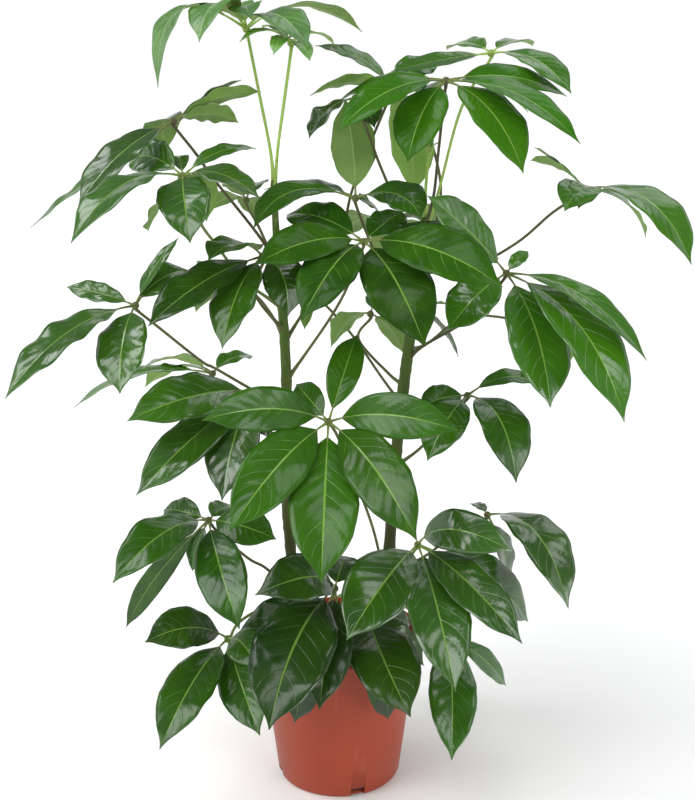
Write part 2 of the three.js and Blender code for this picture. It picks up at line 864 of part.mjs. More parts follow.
// A closed thin sheet: both faces are split into triangles alike.
function sheet(columns, rows, placeOf) {
  const across = columns + 1;
  const layer = across * (rows + 1);
  const positions = [];
  for (const face of [1, -1]) {
    for (let row = 0; row <= rows; row += 1) {
      for (let column = 0; column <= columns; column += 1) {
        positions.push(...placeOf(column, row, face).toArray());
      }
    }
  }
  const at = (column, row, face) => (face > 0 ? 0 : layer) + row * across + column;
  const index = [];
  for (let row = 0; row < rows; row += 1) {
    for (let column = 0; column < columns; column += 1) {
      for (const face of [1, -1]) {
        const a = at(column, row, face);
        const b = at(column + 1, row, face);
        const c = at(column + 1, row + 1, face);
        const d = at(column, row + 1, face);
        index.push(...(face > 0 ? [a, b, c, a, c, d] : [a, c, b, a, d, c]));
      }
    }
  }
  const border = [];
  for (let column = 0; column < columns; column += 1) border.push([column, 0]);
  for (let row = 0; row < rows; row += 1) border.push([columns, row]);
  for (let column = columns; column > 0; column -= 1) border.push([column, rows]);
  for (let row = rows; row > 0; row -= 1) border.push([0, row]);
  border.forEach(([column, row], i) => {
    const [nextColumn, nextRow] = border[(i + 1) % border.length];
    const a = at(column, row, 1);
    const b = at(nextColumn, nextRow, 1);
    const c = at(nextColumn, nextRow, -1);
    const d = at(column, row, -1);
    index.push(a, c, b, a, d, c);
  });
  const geometry = new THREE.BufferGeometry();
  geometry.setAttribute("position", new THREE.Float32BufferAttribute(positions, 3));
  geometry.setIndex(index);
  return solidOf(geometry);
}

function makeLeaflet(hub, axis, leaflet, hidden) {
  const [across, up, reach, side, width, roll, bow, sweep = 0] = leaflet;
  const tip = tipOf(hub, across, up, reach, side);
  const chord = tip.clone().sub(hub);
  const length = chord.length();
  const lengthwise = chord.clone().normalize();
  const rise = axis.clone().addScaledVector(lengthwise, -axis.dot(lengthwise)).normalize();
  const aside = lengthwise.clone().cross(rise);
  const normal = rise.clone().applyAxisAngle(lengthwise, THREE.MathUtils.degToRad(roll));
  const arch = rise.clone().multiplyScalar(bow).addScaledVector(aside, sweep).multiplyScalar(4 * length);
  const spine = (t) => hub.clone().addScaledVector(chord, t).addScaledVector(arch, t * (1 - t));
  const heading = (t) => chord.clone().addScaledVector(arch, 1 - 2 * t).normalize();
  const openRows = width < SLIM_BLADE_WIDTH ? SLIM_BLADE_ROWS : BLADE_ROWS;
  const bladeRows = hidden ? HIDDEN_BLADE_ROWS : openRows;
  const placeOf = (column, row, face) => {
    const onBlade = row > 0;
    const along = onBlade ? bladeRows[row - 1] : 0;
    const t = onBlade ? PETIOLULE_SHARE + (1 - PETIOLULE_SHARE) * along : PETIOLULE_START / length;
    const forward = heading(t);
    const upward = normal.clone().addScaledVector(forward, -normal.dot(forward)).normalize();
    const sideways = forward.clone().cross(upward);
    const share = (column * 2) / BLADE_COLUMNS - 1;
    const outline = outlineAt(along);
    const half = row > 1 ? (width / 2) * outline : PETIOLULE_RADIUS;
    const thick = row > 1 ? BLADE_THICKNESS / 2 : PETIOLULE_RADIUS * (1 - Math.abs(share));
    const wave = BLADE_WAVE * Math.cos(2 * Math.PI * BLADE_WAVES * along) * outline;
    const fold = row > 1 ? Math.abs(share) * (BLADE_FOLD * half + wave) : 0;
    return spine(t).addScaledVector(sideways, share * half).addScaledVector(upward, fold + face * thick);
  };
  return sheet(BLADE_COLUMNS, bladeRows.length, placeOf);
}

function makeFrond(frond, stems) {
  const hub = seen(...frond.hub);
  const axis = new THREE.Vector3(...frond.faces).normalize();
  const [stemName, height] = frond.stem;
  const start = stemPointAt(STEMS[stemName], height);
  const under = hub.clone().addScaledVector(axis, -PETIOLE_TURN);
  const path = [start, ...frond.by.map((place) => seen(...place)), under, hub];
  const curve = new THREE.CatmullRomCurve3(path, false, "catmullrom", CURVE_TENSION);
  const flareAt = (along) => Math.max(0, 1 - along / PETIOLE_FLARE_SHARE);
  const radiusAt = (along) => THREE.MathUtils.lerp(PETIOLE_RADIUS, PETIOLE_BASE_RADIUS, flareAt(along));
  const petiole = tubeAlong(curve, radiusAt, PETIOLE_SIDES, PETIOLE_STEPS);
  const knob = solidOf(new THREE.OctahedronGeometry(HUB_RADIUS, 0).translate(hub.x, hub.y, hub.z));
  const leaflets = frond.leaflets.map((leaflet) => makeLeaflet(hub, axis, leaflet, frond.hidden));
  return unionOf([petiole, knob, ...leaflets]).subtract(stems[stemName]);
}

const plant = new THREE.Group();
plant.name = "potted_umbrella_plant";
plant.add(meshOf(makePot(), "pot", "pot"));
plant.add(meshOf(makeSoil(), "soil", "soil"));
const spacedStems = {};
for (const [name, stem] of Object.entries(STEMS)) {
  plant.add(meshOf(makeStem(stem, 0), "stem_" + name, "stem"));
  spacedStems[name] = makeStem(stem, SEAT_GAP);
}
for (const frond of FRONDS) {
  plant.add(meshOf(makeFrond(frond, spacedStems), frond.name, frond.tone));
}

export default plant;
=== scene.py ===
"""Potted umbrella plant: two woody stems in one nursery pot, with fronds of drooping leaflets.

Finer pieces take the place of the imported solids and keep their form: leaflets with ribs, veins and
waved edges, stems with leaf scars, a smooth pot and loose soil. Lengths in the drawing below are
millimetres, and every finished piece is brought to metres.
"""
import math
import random

import bmesh
import bpy
from mathutils import Matrix, Vector, noise
from mathutils.geometry import interpolate_bezier


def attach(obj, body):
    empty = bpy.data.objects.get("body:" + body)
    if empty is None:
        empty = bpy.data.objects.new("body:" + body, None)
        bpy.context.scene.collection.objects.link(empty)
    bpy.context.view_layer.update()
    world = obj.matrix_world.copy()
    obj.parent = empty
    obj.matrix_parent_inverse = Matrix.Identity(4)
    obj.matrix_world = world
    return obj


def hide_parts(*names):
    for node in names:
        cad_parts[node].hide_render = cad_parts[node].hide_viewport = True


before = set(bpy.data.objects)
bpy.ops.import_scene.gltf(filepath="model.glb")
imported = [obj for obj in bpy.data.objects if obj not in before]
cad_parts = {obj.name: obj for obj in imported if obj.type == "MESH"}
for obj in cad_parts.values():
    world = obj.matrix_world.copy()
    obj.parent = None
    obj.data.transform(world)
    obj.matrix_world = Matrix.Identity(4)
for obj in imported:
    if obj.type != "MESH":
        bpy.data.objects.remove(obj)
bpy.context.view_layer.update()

MM = 0.001
UP = Vector((0, 0, 1))

# Vertices as near as this merge; a curve's handles are one part in six of the way between points
TURN_WELD = 0.001
PIECE_WELD = 0.0005
HANDLE_PARTS = 6

# The eye that the drawing and the camera share, and the lens
EYE = Vector((11, -1400, 830))
CAMERA_PITCH = 13.75
CAMERA_LENS = 54
SENSOR_WIDTH = 36

# Pot; its outlines are heights on the wall, or steps in or out and up or down from an edge
POT_HEIGHT = 190
POT_BASE_RADIUS = 77
POT_RIM_RADIUS = 105
POT_LIP_HEIGHT = 8
POT_LIP_OVERHANG = 5
POT_WALL = 2.2
POT_FLOOR = 3
POT_FLOOR_CORNER = 4
POT_FOOT = [(5, 0), (2.4, 0.6), (1, 2.2)]
POT_OUTSIDE = [6, 60, 120]
POT_NECK = [(-0.3, 1.5), (0.6, 0.2)]
POT_LIP = [(1.4, 7.6), (0.3, 6.2), (0, 3), (0.5, 1), (1.8, 0.1), (3.5, 0)]
POT_MOUTH = [(0.4, 0.4), (0, 1.6)]
POT_INSIDE = [100, 8]
POT_STEPS = 144
NOTCH_WIDTH = 18
NOTCH_HEIGHT = 12
NOTCH_DEPTH = 14
NOTCH_TURNS = [18, 108, 198, 288]
DRAIN_RADIUS = 5
DRAIN_CIRCLE = 46
DRAIN_COUNT = 5
DRAIN_SIDES = 24

# Soil, its lumps and crumbs, and the chips of bark on it
SOIL_LEVEL = 172
SOIL_GAP = 0.3
SOIL_EDGE = 3
SOIL_CORNER = 9
SOIL_CORNER_SPARE = 0.5
SOIL_FOOT_INSET = 6
SOIL_RINGS = 30
SOIL_STEPS = 90
SOIL_LUMPS = 3
LUMP_SCALE = 0.04
SOIL_CRUMBS = [(0.19, 1.7), (0.45, 0.8)]
CHIP_COUNT = 220
CHIP_SEED = 7
CHIP_SPREAD = 0.95
CHIP_RISE = 0.8
CHIP_SIZES = (1.2, 3.4)
CHIP_LENGTHS = (1, 2.2)
CHIP_FLATNESS = 0.4
CHIP_TILT = 0.5

# Stems: points across and up, as drawn, and the stem's radius there
STEM_SIDES = 24
STEM_SPAN_STEPS = 18
STEM_SLIMMER = 0.25
STEM_END = 0.75
STEM_UNEVENNESS = 0.3
STEM_UNEVEN_SCALE = 0.05
SCAR_HEIGHTS = range(190, 560, 37)
SCAR_SHIFT = 9
SCAR_SWELLING = 0.7
SCAR_LENGTH = 4
STEMS = {
    "left": {
        "forward": 10,
        "points": [
            [-50, 60, 7],
            [-50, 172, 7],
            [-59, 290, 6.8],
            [-64, 380, 6.6],
            [-62, 500, 6.4],
            [-65, 585, 5.8],
            [-71, 670, 4.6],
            [-74, 748, 3.6],
        ],
    },
    "right": {
        "forward": -15,
        "points": [
            [57, 60, 7.6],
            [57, 172, 7.6],
            [63, 300, 7.4],
            [71, 430, 7.2],
            [80, 520, 7],
            [91, 610, 6],
            [101, 705, 4.6],
        ],
    },
}

# Leaflets: the blade's grid, form and outline, its veins, and how far chance may change it
BLADE_ACROSS = 16
BLADE_ALONG = 40
BLADE_CROWDING = 1.4
BLADE_THICKNESS = 0.6
BLADE_THINNING = 0.2
BLADE_FOLD = 0.22
BLADE_DROOP = 0.1
BLADE_WAVE = 1.5
BLADE_WAVES = 3
USUAL_HALF = 30
BLADE_OUTLINE = [
    [0, 0.04],
    [0.04, 0.2],
    [0.1, 0.44],
    [0.17, 0.65],
    [0.24, 0.8],
    [0.32, 0.91],
    [0.42, 0.98],
    [0.52, 1],
    [0.62, 0.96],
    [0.72, 0.84],
    [0.8, 0.67],
    [0.86, 0.48],
    [0.9, 0.31],
    [0.935, 0.16],
    [0.965, 0.075],
    [1, 0.01],
]
VEIN_PAIRS = 9
VEIN_LEAN = 1.5
VEIN_CURVE = 0.6
VEIN_STAGGER = 0.35
PUCKER = 0.75
LEAST_PUCKER = 0.5
CRINKLE = 0.75
CRINKLE_SIZE = 16
MARGIN_UNEVENNESS = 0.045
MARGIN_NICKS = 9
RIB_HEIGHT = 0.9
RIB_TOP_HEIGHT = 0.1
RIB_SLENDERNESS = 9
RIB_FADING = 0.7
TWIST_START = 0.3
WAVE_HEIGHTS = (0.7, 1.2)
WAVE_ODDS = (-0.6, 0.8)
HALF_BREADTHS = (0.94, 1.04)
BLADE_TWIST = 7
BRIGHTNESS_ODDS = 0.12
NOISE_SPAN = 100

# Petiolules and petioles, which widen at both ends, and the hub
PETIOLULE_SHARE = 0.13
PETIOLULE_START = 0.01
PETIOLULE_OVERLAP = 0.07
PETIOLULE_RADIUS = 1.3
PETIOLULE_FOOT = 1.35
PETIOLULE_TAPER = 0.9
PETIOLULE_STEPS = 8
PETIOLULE_PALER = 0.2
PETIOLE_RADIUS = 1.9
PETIOLE_SLIMMER = 0.92
PETIOLE_FLARE = 2.2
PETIOLE_FLARE_LENGTH = 14
PETIOLE_SWELLING = 0.9
PETIOLE_SWELLING_LENGTH = 7
PETIOLE_TURN = 6
PETIOLE_SPAN_STEPS = 7
ROD_SIDES = 10
HUB_RADIUS = 4.6
HUB_PALENESS = 0.8

NEAR = 1
FAR = -1

# Each frond: its kind of leaf, its look (how bright its green, how clear its veins and how wavy
# its edges are) and how pale its stalk is, where they aren't the usual ones; its hub (across, up,
# forward), the way its umbrella faces, the stem and height that its petiole leaves, the points it
# passes, and its leaflets. A leaflet is the drawn place of its tip (across, up), its reach from
# hub to tip, whether the tip is nearer than the hub or farther, its width, its roll in degrees,
# its bow as a share of its reach, and any bow to the side.
# A frond's brightness is partly its own green and partly painted light and shade: each frond's green
# is set lighter or darker by how brightly that frond is lit
USUAL_KIND = "mature"
USUAL_LOOK = (0.4, 0.5, 1)
USUAL_STALK = 0.17
FRONDS = {}
FRONDS["frond_top_left"] = {
    "kind": "young",
    # Its pale side veins are partly real veins and partly a painted highlight for the sheen along
    # its puckers
    "look": (0.3, 1.5, 1),
    "stalk": 1,
    "hub": [-102, 914, -10],
    "faces": [-0.2, -0.1, 1],
    "stem": ["left", 742],
    "by": [[-77, 780, 0], [-88, 840, -5]],
    "leaflets": [
        [-203, 851, 132, NEAR, 44, 0, 0.42],
        [-155, 900, 118, NEAR, 50, 0, 0.28],
        [-97, 925, 90, NEAR, 40, 0, 0.2],
        [-32, 893, 118, NEAR, 52, 0, 0.22],
        [27, 911, 150, FAR, 46, 0, 0.18],
        [-112, 938, 95, FAR, 36, 0, 0.12],
    ],
}
FRONDS["frond_top_young"] = {
    "kind": "young",
    "look": (1, 0.5, 1),
    "stalk": 1,
    "hub": [-52, 899, 30],
    "faces": [0, -0.2, 1],
    "stem": ["left", 728],
    "by": [[-69, 780, 20], [-60, 840, 25]],
    "leaflets": [
        [-110, 900, 66, NEAR, 22, 0, 0.2],
        [-72, 886, 48, NEAR, 20, 0, 0.25],
        [-31, 879, 48, NEAR, 20, 0, 0.2],
        [-3, 896, 62, FAR, 20, 0, 0.2],
        [-85, 915, 60, FAR, 18, 0, 0.15],
    ],
}
FRONDS["frond_upper_left"] = {
    "kind": "waxy",
    "look": (0.45, 0.4, 2),
    "stalk": 0.1,
    "hub": [-187, 813, 30],
    "faces": [-0.2, -0.3, 1],
    "stem": ["left", 655],
    "by": [[-98, 692, 14], [-142, 748, 16], [-162, 777, 20]],
    "leaflets": [
        [-109, 859, 95, FAR, 24, -34, 0.04],
        [-87, 846, 110, FAR, 32, -44, 0.08],
        [-113, 812, 82, FAR, 34, -44, 0.12],
        [-300, 718, 158, NEAR, 48, -12, 0.08],
        [-357, 693, 215, FAR, 24, -12, 0.02],
        [-197, 778, 95, FAR, 50, 0, 0.2],
    ],
}
FRONDS["frond_upper_left_inner"] = {
    "hub": [-106, 725, -60],
    "faces": [0, 0.5, 1],
    "stem": ["left", 640],
    "by": [[-90, 690, -35]],
    "leaflets": [
        [-92, 702, 80, FAR, 40, 0, 0.15],
        [-150, 712, 80, FAR, 38, 0, 0.15],
        [-85, 745, 70, FAR, 36, 0, 0.1],
        [-128, 742, 60, NEAR, 30, 0, 0.1],
    ],
}
FRONDS["frond_left_front"] = {
    "kind": "waxy",
    "look": (0.47, 0.6, 1.8),
    "stalk": 0.35,
    "hub": [-178, 752, 85],
    "faces": [-0.1, -0.4, 1],
    "stem": ["left", 602],
    "by": [[-110, 632, 45], [-143, 675, 65], [-160, 700, 70]],
    "leaflets": [
        [-172, 675, 118, NEAR, 56, 0, 0.15],
        [-311, 675, 170, NEAR, 54, 6, 0.16],
        [-93, 783, 98, FAR, 24, 12, 0.12],
        [-90, 727, 105, NEAR, 38, 0, 0.15],
        [-221, 689, 90, FAR, 54, 0, 0.04],
        [-152, 700, 100, FAR, 44, 0, 0.2],
        [-181, 775, 66, FAR, 20, 0, 0.1],
        [-240, 768, 100, FAR, 46, -30, 0.14],
    ],
}
FRONDS["frond_left_middle"] = {
    "kind": "waxy",
    "look": (0.55, 0.6, 2),
    "hub": [-239, 602, 45],
    "faces": [-0.2, -0.4, 1],
    "stem": ["left", 478],
    "by": [[-143, 524, 15], [-163, 535, 20], [-215, 578, 35]],
    "leaflets": [
        [-262, 495, 125, NEAR, 58, 0, 0.12],
        [-400, 489, 200, NEAR, 50, -8, 0.11],
        [-319, 624, 95, FAR, 28, -16, 0.04],
        [-185, 682, 100, FAR, 18, 0, 0.06],
        [-176, 644, 85, FAR, 40, 30, 0.12],
    ],
}
FRONDS["frond_back_left"] = {
    "kind": "waxy",
    "look": (0.6, 0.4, 1.6),
    "hub": [-150, 520, -90],
    "faces": [-0.1, 0.3, 1],
    "stem": ["left", 430],
    "by": [[-110, 480, -50]],
    "leaflets": [
        [-100, 541, 75, FAR, 36, 20, 0.12],
        [-318, 478, 190, FAR, 46, -22, 0.12],
        [-235, 525, 110, NEAR, 38, 0, 0.15],
        [-232, 503, 120, FAR, 44, 0, 0.15],
    ],
}
FRONDS["frond_centre_left"] = {
    "look": (0.32, 0.6, 1.6),
    "hub": [-88, 660, 75],
    "faces": [-0.2, -0.5, 1],
    "stem": ["left", 575],
    "by": [[-98, 617, 50]],
    "leaflets": [
        [-138, 550, 135, NEAR, 52, 0, 0.12],
        [-225, 577, 165, NEAR, 54, -10, 0.07],
        [-152, 655, 95, NEAR, 54, 0, 0.17],
        [-60, 588, 92, NEAR, 46, 0, 0.12, -0.12],
    ],
}
FRONDS["frond_centre"] = {
    "kind": "matt",
    "look": (0.36, 0.9, 1.1),
    "stalk": 0.22,
    "hub": [30, 677, 60],
    "faces": [0, -0.6, 0.8],
    "stem": ["left", 512],
    "by": [[-7, 591, 10], [18, 640, 25]],
    "leaflets": [
        [103, 552, 160, NEAR, 76, 0, 0.14],
        [-43, 585, 145, NEAR, 60, 0, 0.14],
        [-97, 650, 140, NEAR, 52, -10, 0.12],
        [-60, 708, 115, FAR, 54, 0, 0.12],
        [75, 712, 88, FAR, 42, 0, 0.04],
        [188, 657, 170, FAR, 50, 0, 0.12],
        [193, 624, 178, NEAR, 66, 10, 0.12],
    ],
}
FRONDS["frond_centre_back"] = {
    "look": (0.4, 0.7, 1.1),
    "hub": [20, 727, 15],
    "faces": [0, 0.6, 0.8],
    "stem": ["right", 600],
    "by": [[55, 640, -30], [32, 690, 0]],
    "leaflets": [
        [8, 838, 118, FAR, 56, 0, 0.1],
        [-98, 692, 138, NEAR, 38, -60, 0.21],
        [-85, 737, 112, FAR, 40, -40, 0.12],
        [97, 703, 95, NEAR, 52, 60, 0.2],
        [50, 708, 50, FAR, 30, 60, 0.1],
    ],
}
FRONDS["frond_top_right"] = {
    "kind": "matt",
    "look": (0.75, 0.6, 0.8),
    "stalk": 0.1,
    "hub": [122, 858, 30],
    "faces": [0, -0.3, 1],
    "stem": ["right", 688],
    "by": [[110, 728, 0], [115, 780, 12], [120, 835, 20]],
    "leaflets": [
        [80, 768, 108, NEAR, 58, 0, 0.15],
        [0, 802, 147, NEAR, 48, -10, 0.12],
        [-1, 834, 135, FAR, 36, -8, 0.1],
        [213, 755, 148, NEAR, 64, 0, 0.14],
        [277, 788, 172, NEAR, 46, 0, 0.12],
        [259, 841, 150, FAR, 44, 20, 0.09],
        [216, 824, 110, FAR, 34, 0, 0.1],
    ],
}
FRONDS["frond_top_right_back"] = {
    "look": (0.65, 0.4, 0.8),
    "stalk": 0.9,
    "hub": [172, 888, -70],
    "faces": [0, -0.1, 1],
    "stem": ["right", 672],
    "by": [[116, 735, -42], [140, 828, -60]],
    "leaflets": [
        [264, 844, 125, NEAR, 46, 10, 0.13],
        [219, 896, 95, FAR, 34, 0, 0.1],
        [122, 892, 95, FAR, 38, -14, 0.1],
        [60, 868, 125, NEAR, 38, -18, 0.02],
    ],
}
FRONDS["frond_top_centre"] = {
    "look": (0.7, 0.5, 1),
    "hub": [62, 852, -50],
    "faces": [0, 0.1, 1],
    "stem": ["left", 560],
    "by": [[-20, 630, -30], [5, 690, -40], [18, 741, -45], [50, 820, -50]],
    "leaflets": [
        [-25, 896, 105, FAR, 36, -25, 0.1],
        [-31, 842, 110, NEAR, 30, 22, 0.1],
        [88, 732, 135, FAR, 58, 0, 0.12],
        [112, 878, 80, FAR, 44, 34, 0.08],
    ],
}
FRONDS["frond_top_centre_small"] = {
    "kind": "waxy",
    "look": (0.15, 0.4, 2),
    "hub": [20, 839, 4],
    "faces": [-0.2, -0.2, 1],
    "stem": ["right", 664],
    "by": [[75, 705, -22], [48, 765, -12], [35, 800, 6]],
    "leaflets": [
        [-33, 794, 77, NEAR, 34, 0, 0.15],
        [42, 806, 70, NEAR, 36, 0, 0.15],
    ],
}
FRONDS["frond_right_upper"] = {
    "look": (0.65, 0.5, 1.1),
    "stalk": 0.15,
    "hub": [285, 738, -20],
    "faces": [0.2, -0.3, 1],
    "stem": ["right", 640],
    "by": [[150, 645, -30], [207, 675, -28], [250, 712, -24]],
    "leaflets": [
        [413, 650, 168, NEAR, 62, 4, 0.19],
        [262, 712, 95, NEAR, 44, 0, 0.15],
        [278, 715, 85, NEAR, 38, 0, 0.15],
        [220, 770, 85, FAR, 34, 32, 0.1],
        [224, 785, 95, FAR, 34, 28, 0.03],
        [358, 682, 110, FAR, 40, 0, 0.15],
    ],
}
FRONDS["frond_right_middle"] = {
    "kind": "waxy",
    "look": (0.82, 0.9, 1.3),
    "stalk": 0.1,
    "hub": [197, 640, 30],
    "faces": [0.2, -0.5, 1],
    "stem": ["right", 533],
    "by": [[100, 553, -5], [160, 590, 10]],
    "leaflets": [
        [103, 730, 138, NEAR, 54, -30, 0.03],
        [130, 572, 100, NEAR, 54, 0, 0.12],
        [255, 478, 172, NEAR, 74, 0, 0.12],
        [345, 460, 232, NEAR, 72, 0, 0.12, -0.04],
        [368, 535, 200, NEAR, 42, 0, 0.14],
        [222, 666, 40, FAR, 18, 0, 0.1],
    ],
}
FRONDS["frond_right_lower"] = {
    "look": (0.48, 0.5, 1),
    "hub": [155, 493, 20],
    "faces": [0.1, -0.4, 1],
    "stem": ["right", 400],
    "by": [[100, 428, 0], [130, 463, 10]],
    "leaflets": [
        [217, 383, 132, NEAR, 60, 0, 0.26],
        [245, 503, 95, FAR, 30, 0, 0.22],
        [108, 411, 105, NEAR, 50, 0, 0.15],
        [97, 478, 66, NEAR, 36, -20, 0.08],
    ],
}
FRONDS["frond_front_centre"] = {
    "kind": "dull",
    "look": (0.5, 1, 0.9),
    "stalk": 0.25,
    "hub": [-12, 460, 150],
    "faces": [0, -1, 0.35],
    "stem": ["right", 235],
    "by": [[45, 315, 30], [25, 375, 80], [0, 440, 125]],
    "leaflets": [
        [-22, 252, 192, NEAR, 70, 0, 0.08],
        [-135, 320, 178, NEAR, 60, 0, 0.1, 0.04],
        [97, 308, 180, NEAR, 60, 0, 0.1, -0.05],
        [145, 449, 150, NEAR, 50, 0, 0.1, -0.07],
        [-165, 462, 148, NEAR, 46, 0, 0.1, 0.08],
        [22, 567, 115, FAR, 38, 0, 0.08],
        [-50, 507, 70, FAR, 34, 0, 0.1],
    ],
}
FRONDS["frond_left_inner"] = {
    "kind": "waxy",
    "look": (0.4, 0.8, 1.2),
    "hub": [-100, 498, 65],
    "faces": [-0.2, -0.9, 0.8],
    "stem": ["left", 395],
    "by": [[-85, 450, 40]],
    "leaflets": [
        [-255, 461, 165, NEAR, 64, 0, 0.1],
        [-248, 367, 195, NEAR, 54, 0, 0.06],
        [-143, 360, 150, NEAR, 62, 0, 0.12],
        [-85, 440, 75, NEAR, 40, 0, 0.12],
    ],
}
FRONDS["frond_lower_left"] = {
    "look": (0.4, 0.9, 1.3),
    "hub": [-160, 335, 60],
    "faces": [-0.2, -0.8, 0.9],
    "stem": ["left", 240],
    "by": [[-88, 270, 30], [-112, 285, 35], [-145, 315, 50]],
    "leaflets": [
        [-282, 252, 152, NEAR, 58, 0, 0.17],
        [-268, 192, 180, FAR, 29, -40, 0.08],
        [-182, 268, 70, FAR, 26, 0, 0.1],
        [-125, 190, 150, NEAR, 57, 0, 0.12],
        [-77, 310, 90, NEAR, 50, 0, 0.12],
        [-215, 348, 70, FAR, 36, 0, 0.12],
        [-130, 354, 50, FAR, 34, 0, 0.1],
    ],
}
FRONDS["frond_bottom_left"] = {
    "look": (0.31, 0.8, 1),
    "stalk": 0.5,
    "hub": [-140, 177, 110],
    "faces": [-0.2, -0.9, 0.9],
    "stem": ["left", 215],
    "by": [[-85, 222, 55], [-125, 200, 95]],
    "leaflets": [
        [-245, 172, 108, NEAR, 54, 0, 0.13, 0.08],
        [-232, 22, 175, NEAR, 58, 0, 0.1],
        [-102, 42, 140, NEAR, 54, 0, 0.1],
        [-104, 135, 72, NEAR, 42, 0, 0.16, -0.1],
    ],
}
FRONDS["frond_bottom_front"] = {
    "look": (0.02, 0.2, 2.2),
    "hub": [-5, 245, 135],
    "faces": [0, -0.7, 0.7],
    "stem": ["left", 205],
    "by": [[-35, 225, 60], [-15, 243, 105]],
    "leaflets": [
        [-105, 236, 112, NEAR, 58, 0, 0.28],
        [-90, 50, 200, NEAR, 84, 0, 0.1, 0.05],
        [-57, 60, 178, FAR, 50, 0, 0.1],
        [-25, 78, 154, NEAR, 54, 0, 0.08],
        [-120, 100, 180, FAR, 62, 0, 0.08, 0.12],
        [10, 132, 106, FAR, 44, 0, 0.05],
        [9, 288, 62, FAR, 48, 0, 0.1],
    ],
}
FRONDS["frond_lower_right"] = {
    "kind": "waxy",
    "look": (0.43, 0.9, 1.1),
    "stalk": 0.45,
    "hub": [98, 303, 110],
    "faces": [0, -0.7, 0.8],
    "stem": ["right", 225],
    "by": [[75, 262, 40], [92, 292, 90]],
    "leaflets": [
        [10, 175, 160, NEAR, 76, 0, 0.12],
        [149, 104, 200, NEAR, 66, 0, 0.1],
        [232, 170, 188, NEAR, 52, 0, 0.1],
        [238, 200, 174, FAR, 58, 0, 0.15],
        [218, 293, 122, NEAR, 48, 20, 0.3],
    ],
}
FRONDS["frond_right_low_back"] = {
    "kind": "waxy",
    "look": (0.27, 0.7, 1.2),
    "hub": [183, 342, 10],
    "faces": [0.2, -0.4, 1],
    "stem": ["right", 255],
    "by": [[110, 290, -5], [150, 325, 0]],
    "leaflets": [
        [288, 218, 170, NEAR, 62, 0, 0.25],
        [163, 357, 40, FAR, 18, 0, 0.1],
        [205, 240, 115, FAR, 50, 0, 0.1],
    ],
}
FRONDS["frond_bottom_right"] = {
    "kind": "waxy",
    "look": (0.65, 0.6, 1),
    "stalk": 0.45,
    "hub": [138, 180, 60],
    "faces": [0.1, -0.6, 1],
    "stem": ["right", 205],
    "by": [[100, 200, 30]],
    "leaflets": [
        [146, 6, 176, NEAR, 58, 0, 0.1],
        [213, 112, 105, FAR, 34, 0, 0.1],
    ],
}
FRONDS["frond_bottom_centre"] = {
    "look": (0.03, 0.6, 1.1),
    "hub": [36, 212, 120],
    "faces": [0.1, -0.7, 0.8],
    "stem": ["right", 195],
    "by": [[52, 208, 60]],
    "leaflets": [
        [92, 68, 162, NEAR, 76, 0, 0.1, 0.05],
        [63, 65, 145, FAR, 50, 0, 0.1],
        [108, 140, 92, FAR, 36, 0, 0.1],
        [93, 256, 75, FAR, 38, 0, 0.1],
        [90, 196, 64, FAR, 36, 0, 0.1],
    ],
}
FRONDS["frond_centre_low_back"] = {
    "hub": [38, 592, -75],
    "faces": [0, 0.4, 1],
    "stem": ["right", 500],
    "by": [[60, 520, -45], [24, 562, -72]],
    "leaflets": [
        [77, 545, 72, FAR, 42, 0, 0.15],
        [-9, 551, 74, FAR, 46, 0, 0.28, 0.1],
        [60, 620, 70, FAR, 34, 0, 0.12],
    ],
}
FRONDS["frond_centre_far"] = {
    "hub": [-28, 622, -142],
    "faces": [0, 0.5, 1],
    "stem": ["right", 480],
    "by": [[52, 515, -75], [20, 562, -138], [-5, 592, -144]],
    "leaflets": [
        [-40, 573, 60, FAR, 18, 0, 0.12],
        [-60, 650, 90, FAR, 40, 0, 0.12],
        [0, 660, 90, FAR, 40, 0, 0.12],
    ],
}
FRONDS["frond_right_thin_back"] = {
    "hub": [97, 598, -85],
    "faces": [0, 0.4, 1],
    "stem": ["right", 560],
    "by": [[95, 580, -50]],
    "leaflets": [
        [143, 540, 80, FAR, 26, 50, 0.1],
        [130, 603, 40, FAR, 16, 0, 0.1],
        [70, 650, 90, FAR, 36, 0, 0.1],
    ],
}
FRONDS["frond_top_sprout"] = {
    "kind": "young",
    "look": (1, 0.5, 1),
    "stalk": 1,
    "hub": [105, 783, -12],
    "faces": [0, -0.2, 1],
    "stem": ["right", 702],
    "by": [[101, 735, -20], [103, 765, -18]],
    "leaflets": [
        [97, 795, 16, NEAR, 9, 0, 0.1],
        [106, 799, 16, FAR, 9, 0, 0.1],
        [117, 790, 15, NEAR, 9, 0, 0.1],
    ],
}
FRONDS["frond_back_upper"] = {
    "hub": [60, 695, -150],
    "faces": [0, 0.6, 0.9],
    "stem": ["right", 625],
    "by": [[78, 660, -90]],
    "leaflets": [
        [130, 690, 150, FAR, 54, 0, 0.15],
        [-10, 675, 150, FAR, 54, 0, 0.15],
        [60, 640, 145, FAR, 52, 0, 0.15],
        [105, 655, 150, FAR, 52, 0, 0.15],
    ],
}
FRONDS["frond_back_middle"] = {
    "hub": [-15, 405, -130],
    "faces": [0, 0.6, 0.9],
    "stem": ["left", 330],
    "by": [[-35, 375, -70]],
    "leaflets": [
        [-68, 375, 145, FAR, 50, 0, 0.15],
        [38, 368, 145, FAR, 50, 0, 0.15],
        [-15, 325, 145, FAR, 52, 0, 0.15],
        [-62, 425, 125, FAR, 46, 0, 0.12],
    ],
}
FRONDS["frond_back_right"] = {
    "hub": [262, 580, -120],
    "faces": [0.2, 0.6, 0.9],
    "stem": ["right", 548],
    "by": [[105, 556, -45], [160, 590, -75]],
    "leaflets": [
        [316, 524, 140, FAR, 48, 0, 0.15],
        [262, 516, 145, FAR, 50, 0, 0.15],
        [226, 556, 120, FAR, 46, 0, 0.12],
        [290, 598, 110, NEAR, 40, 0, 0.12],
    ],
}
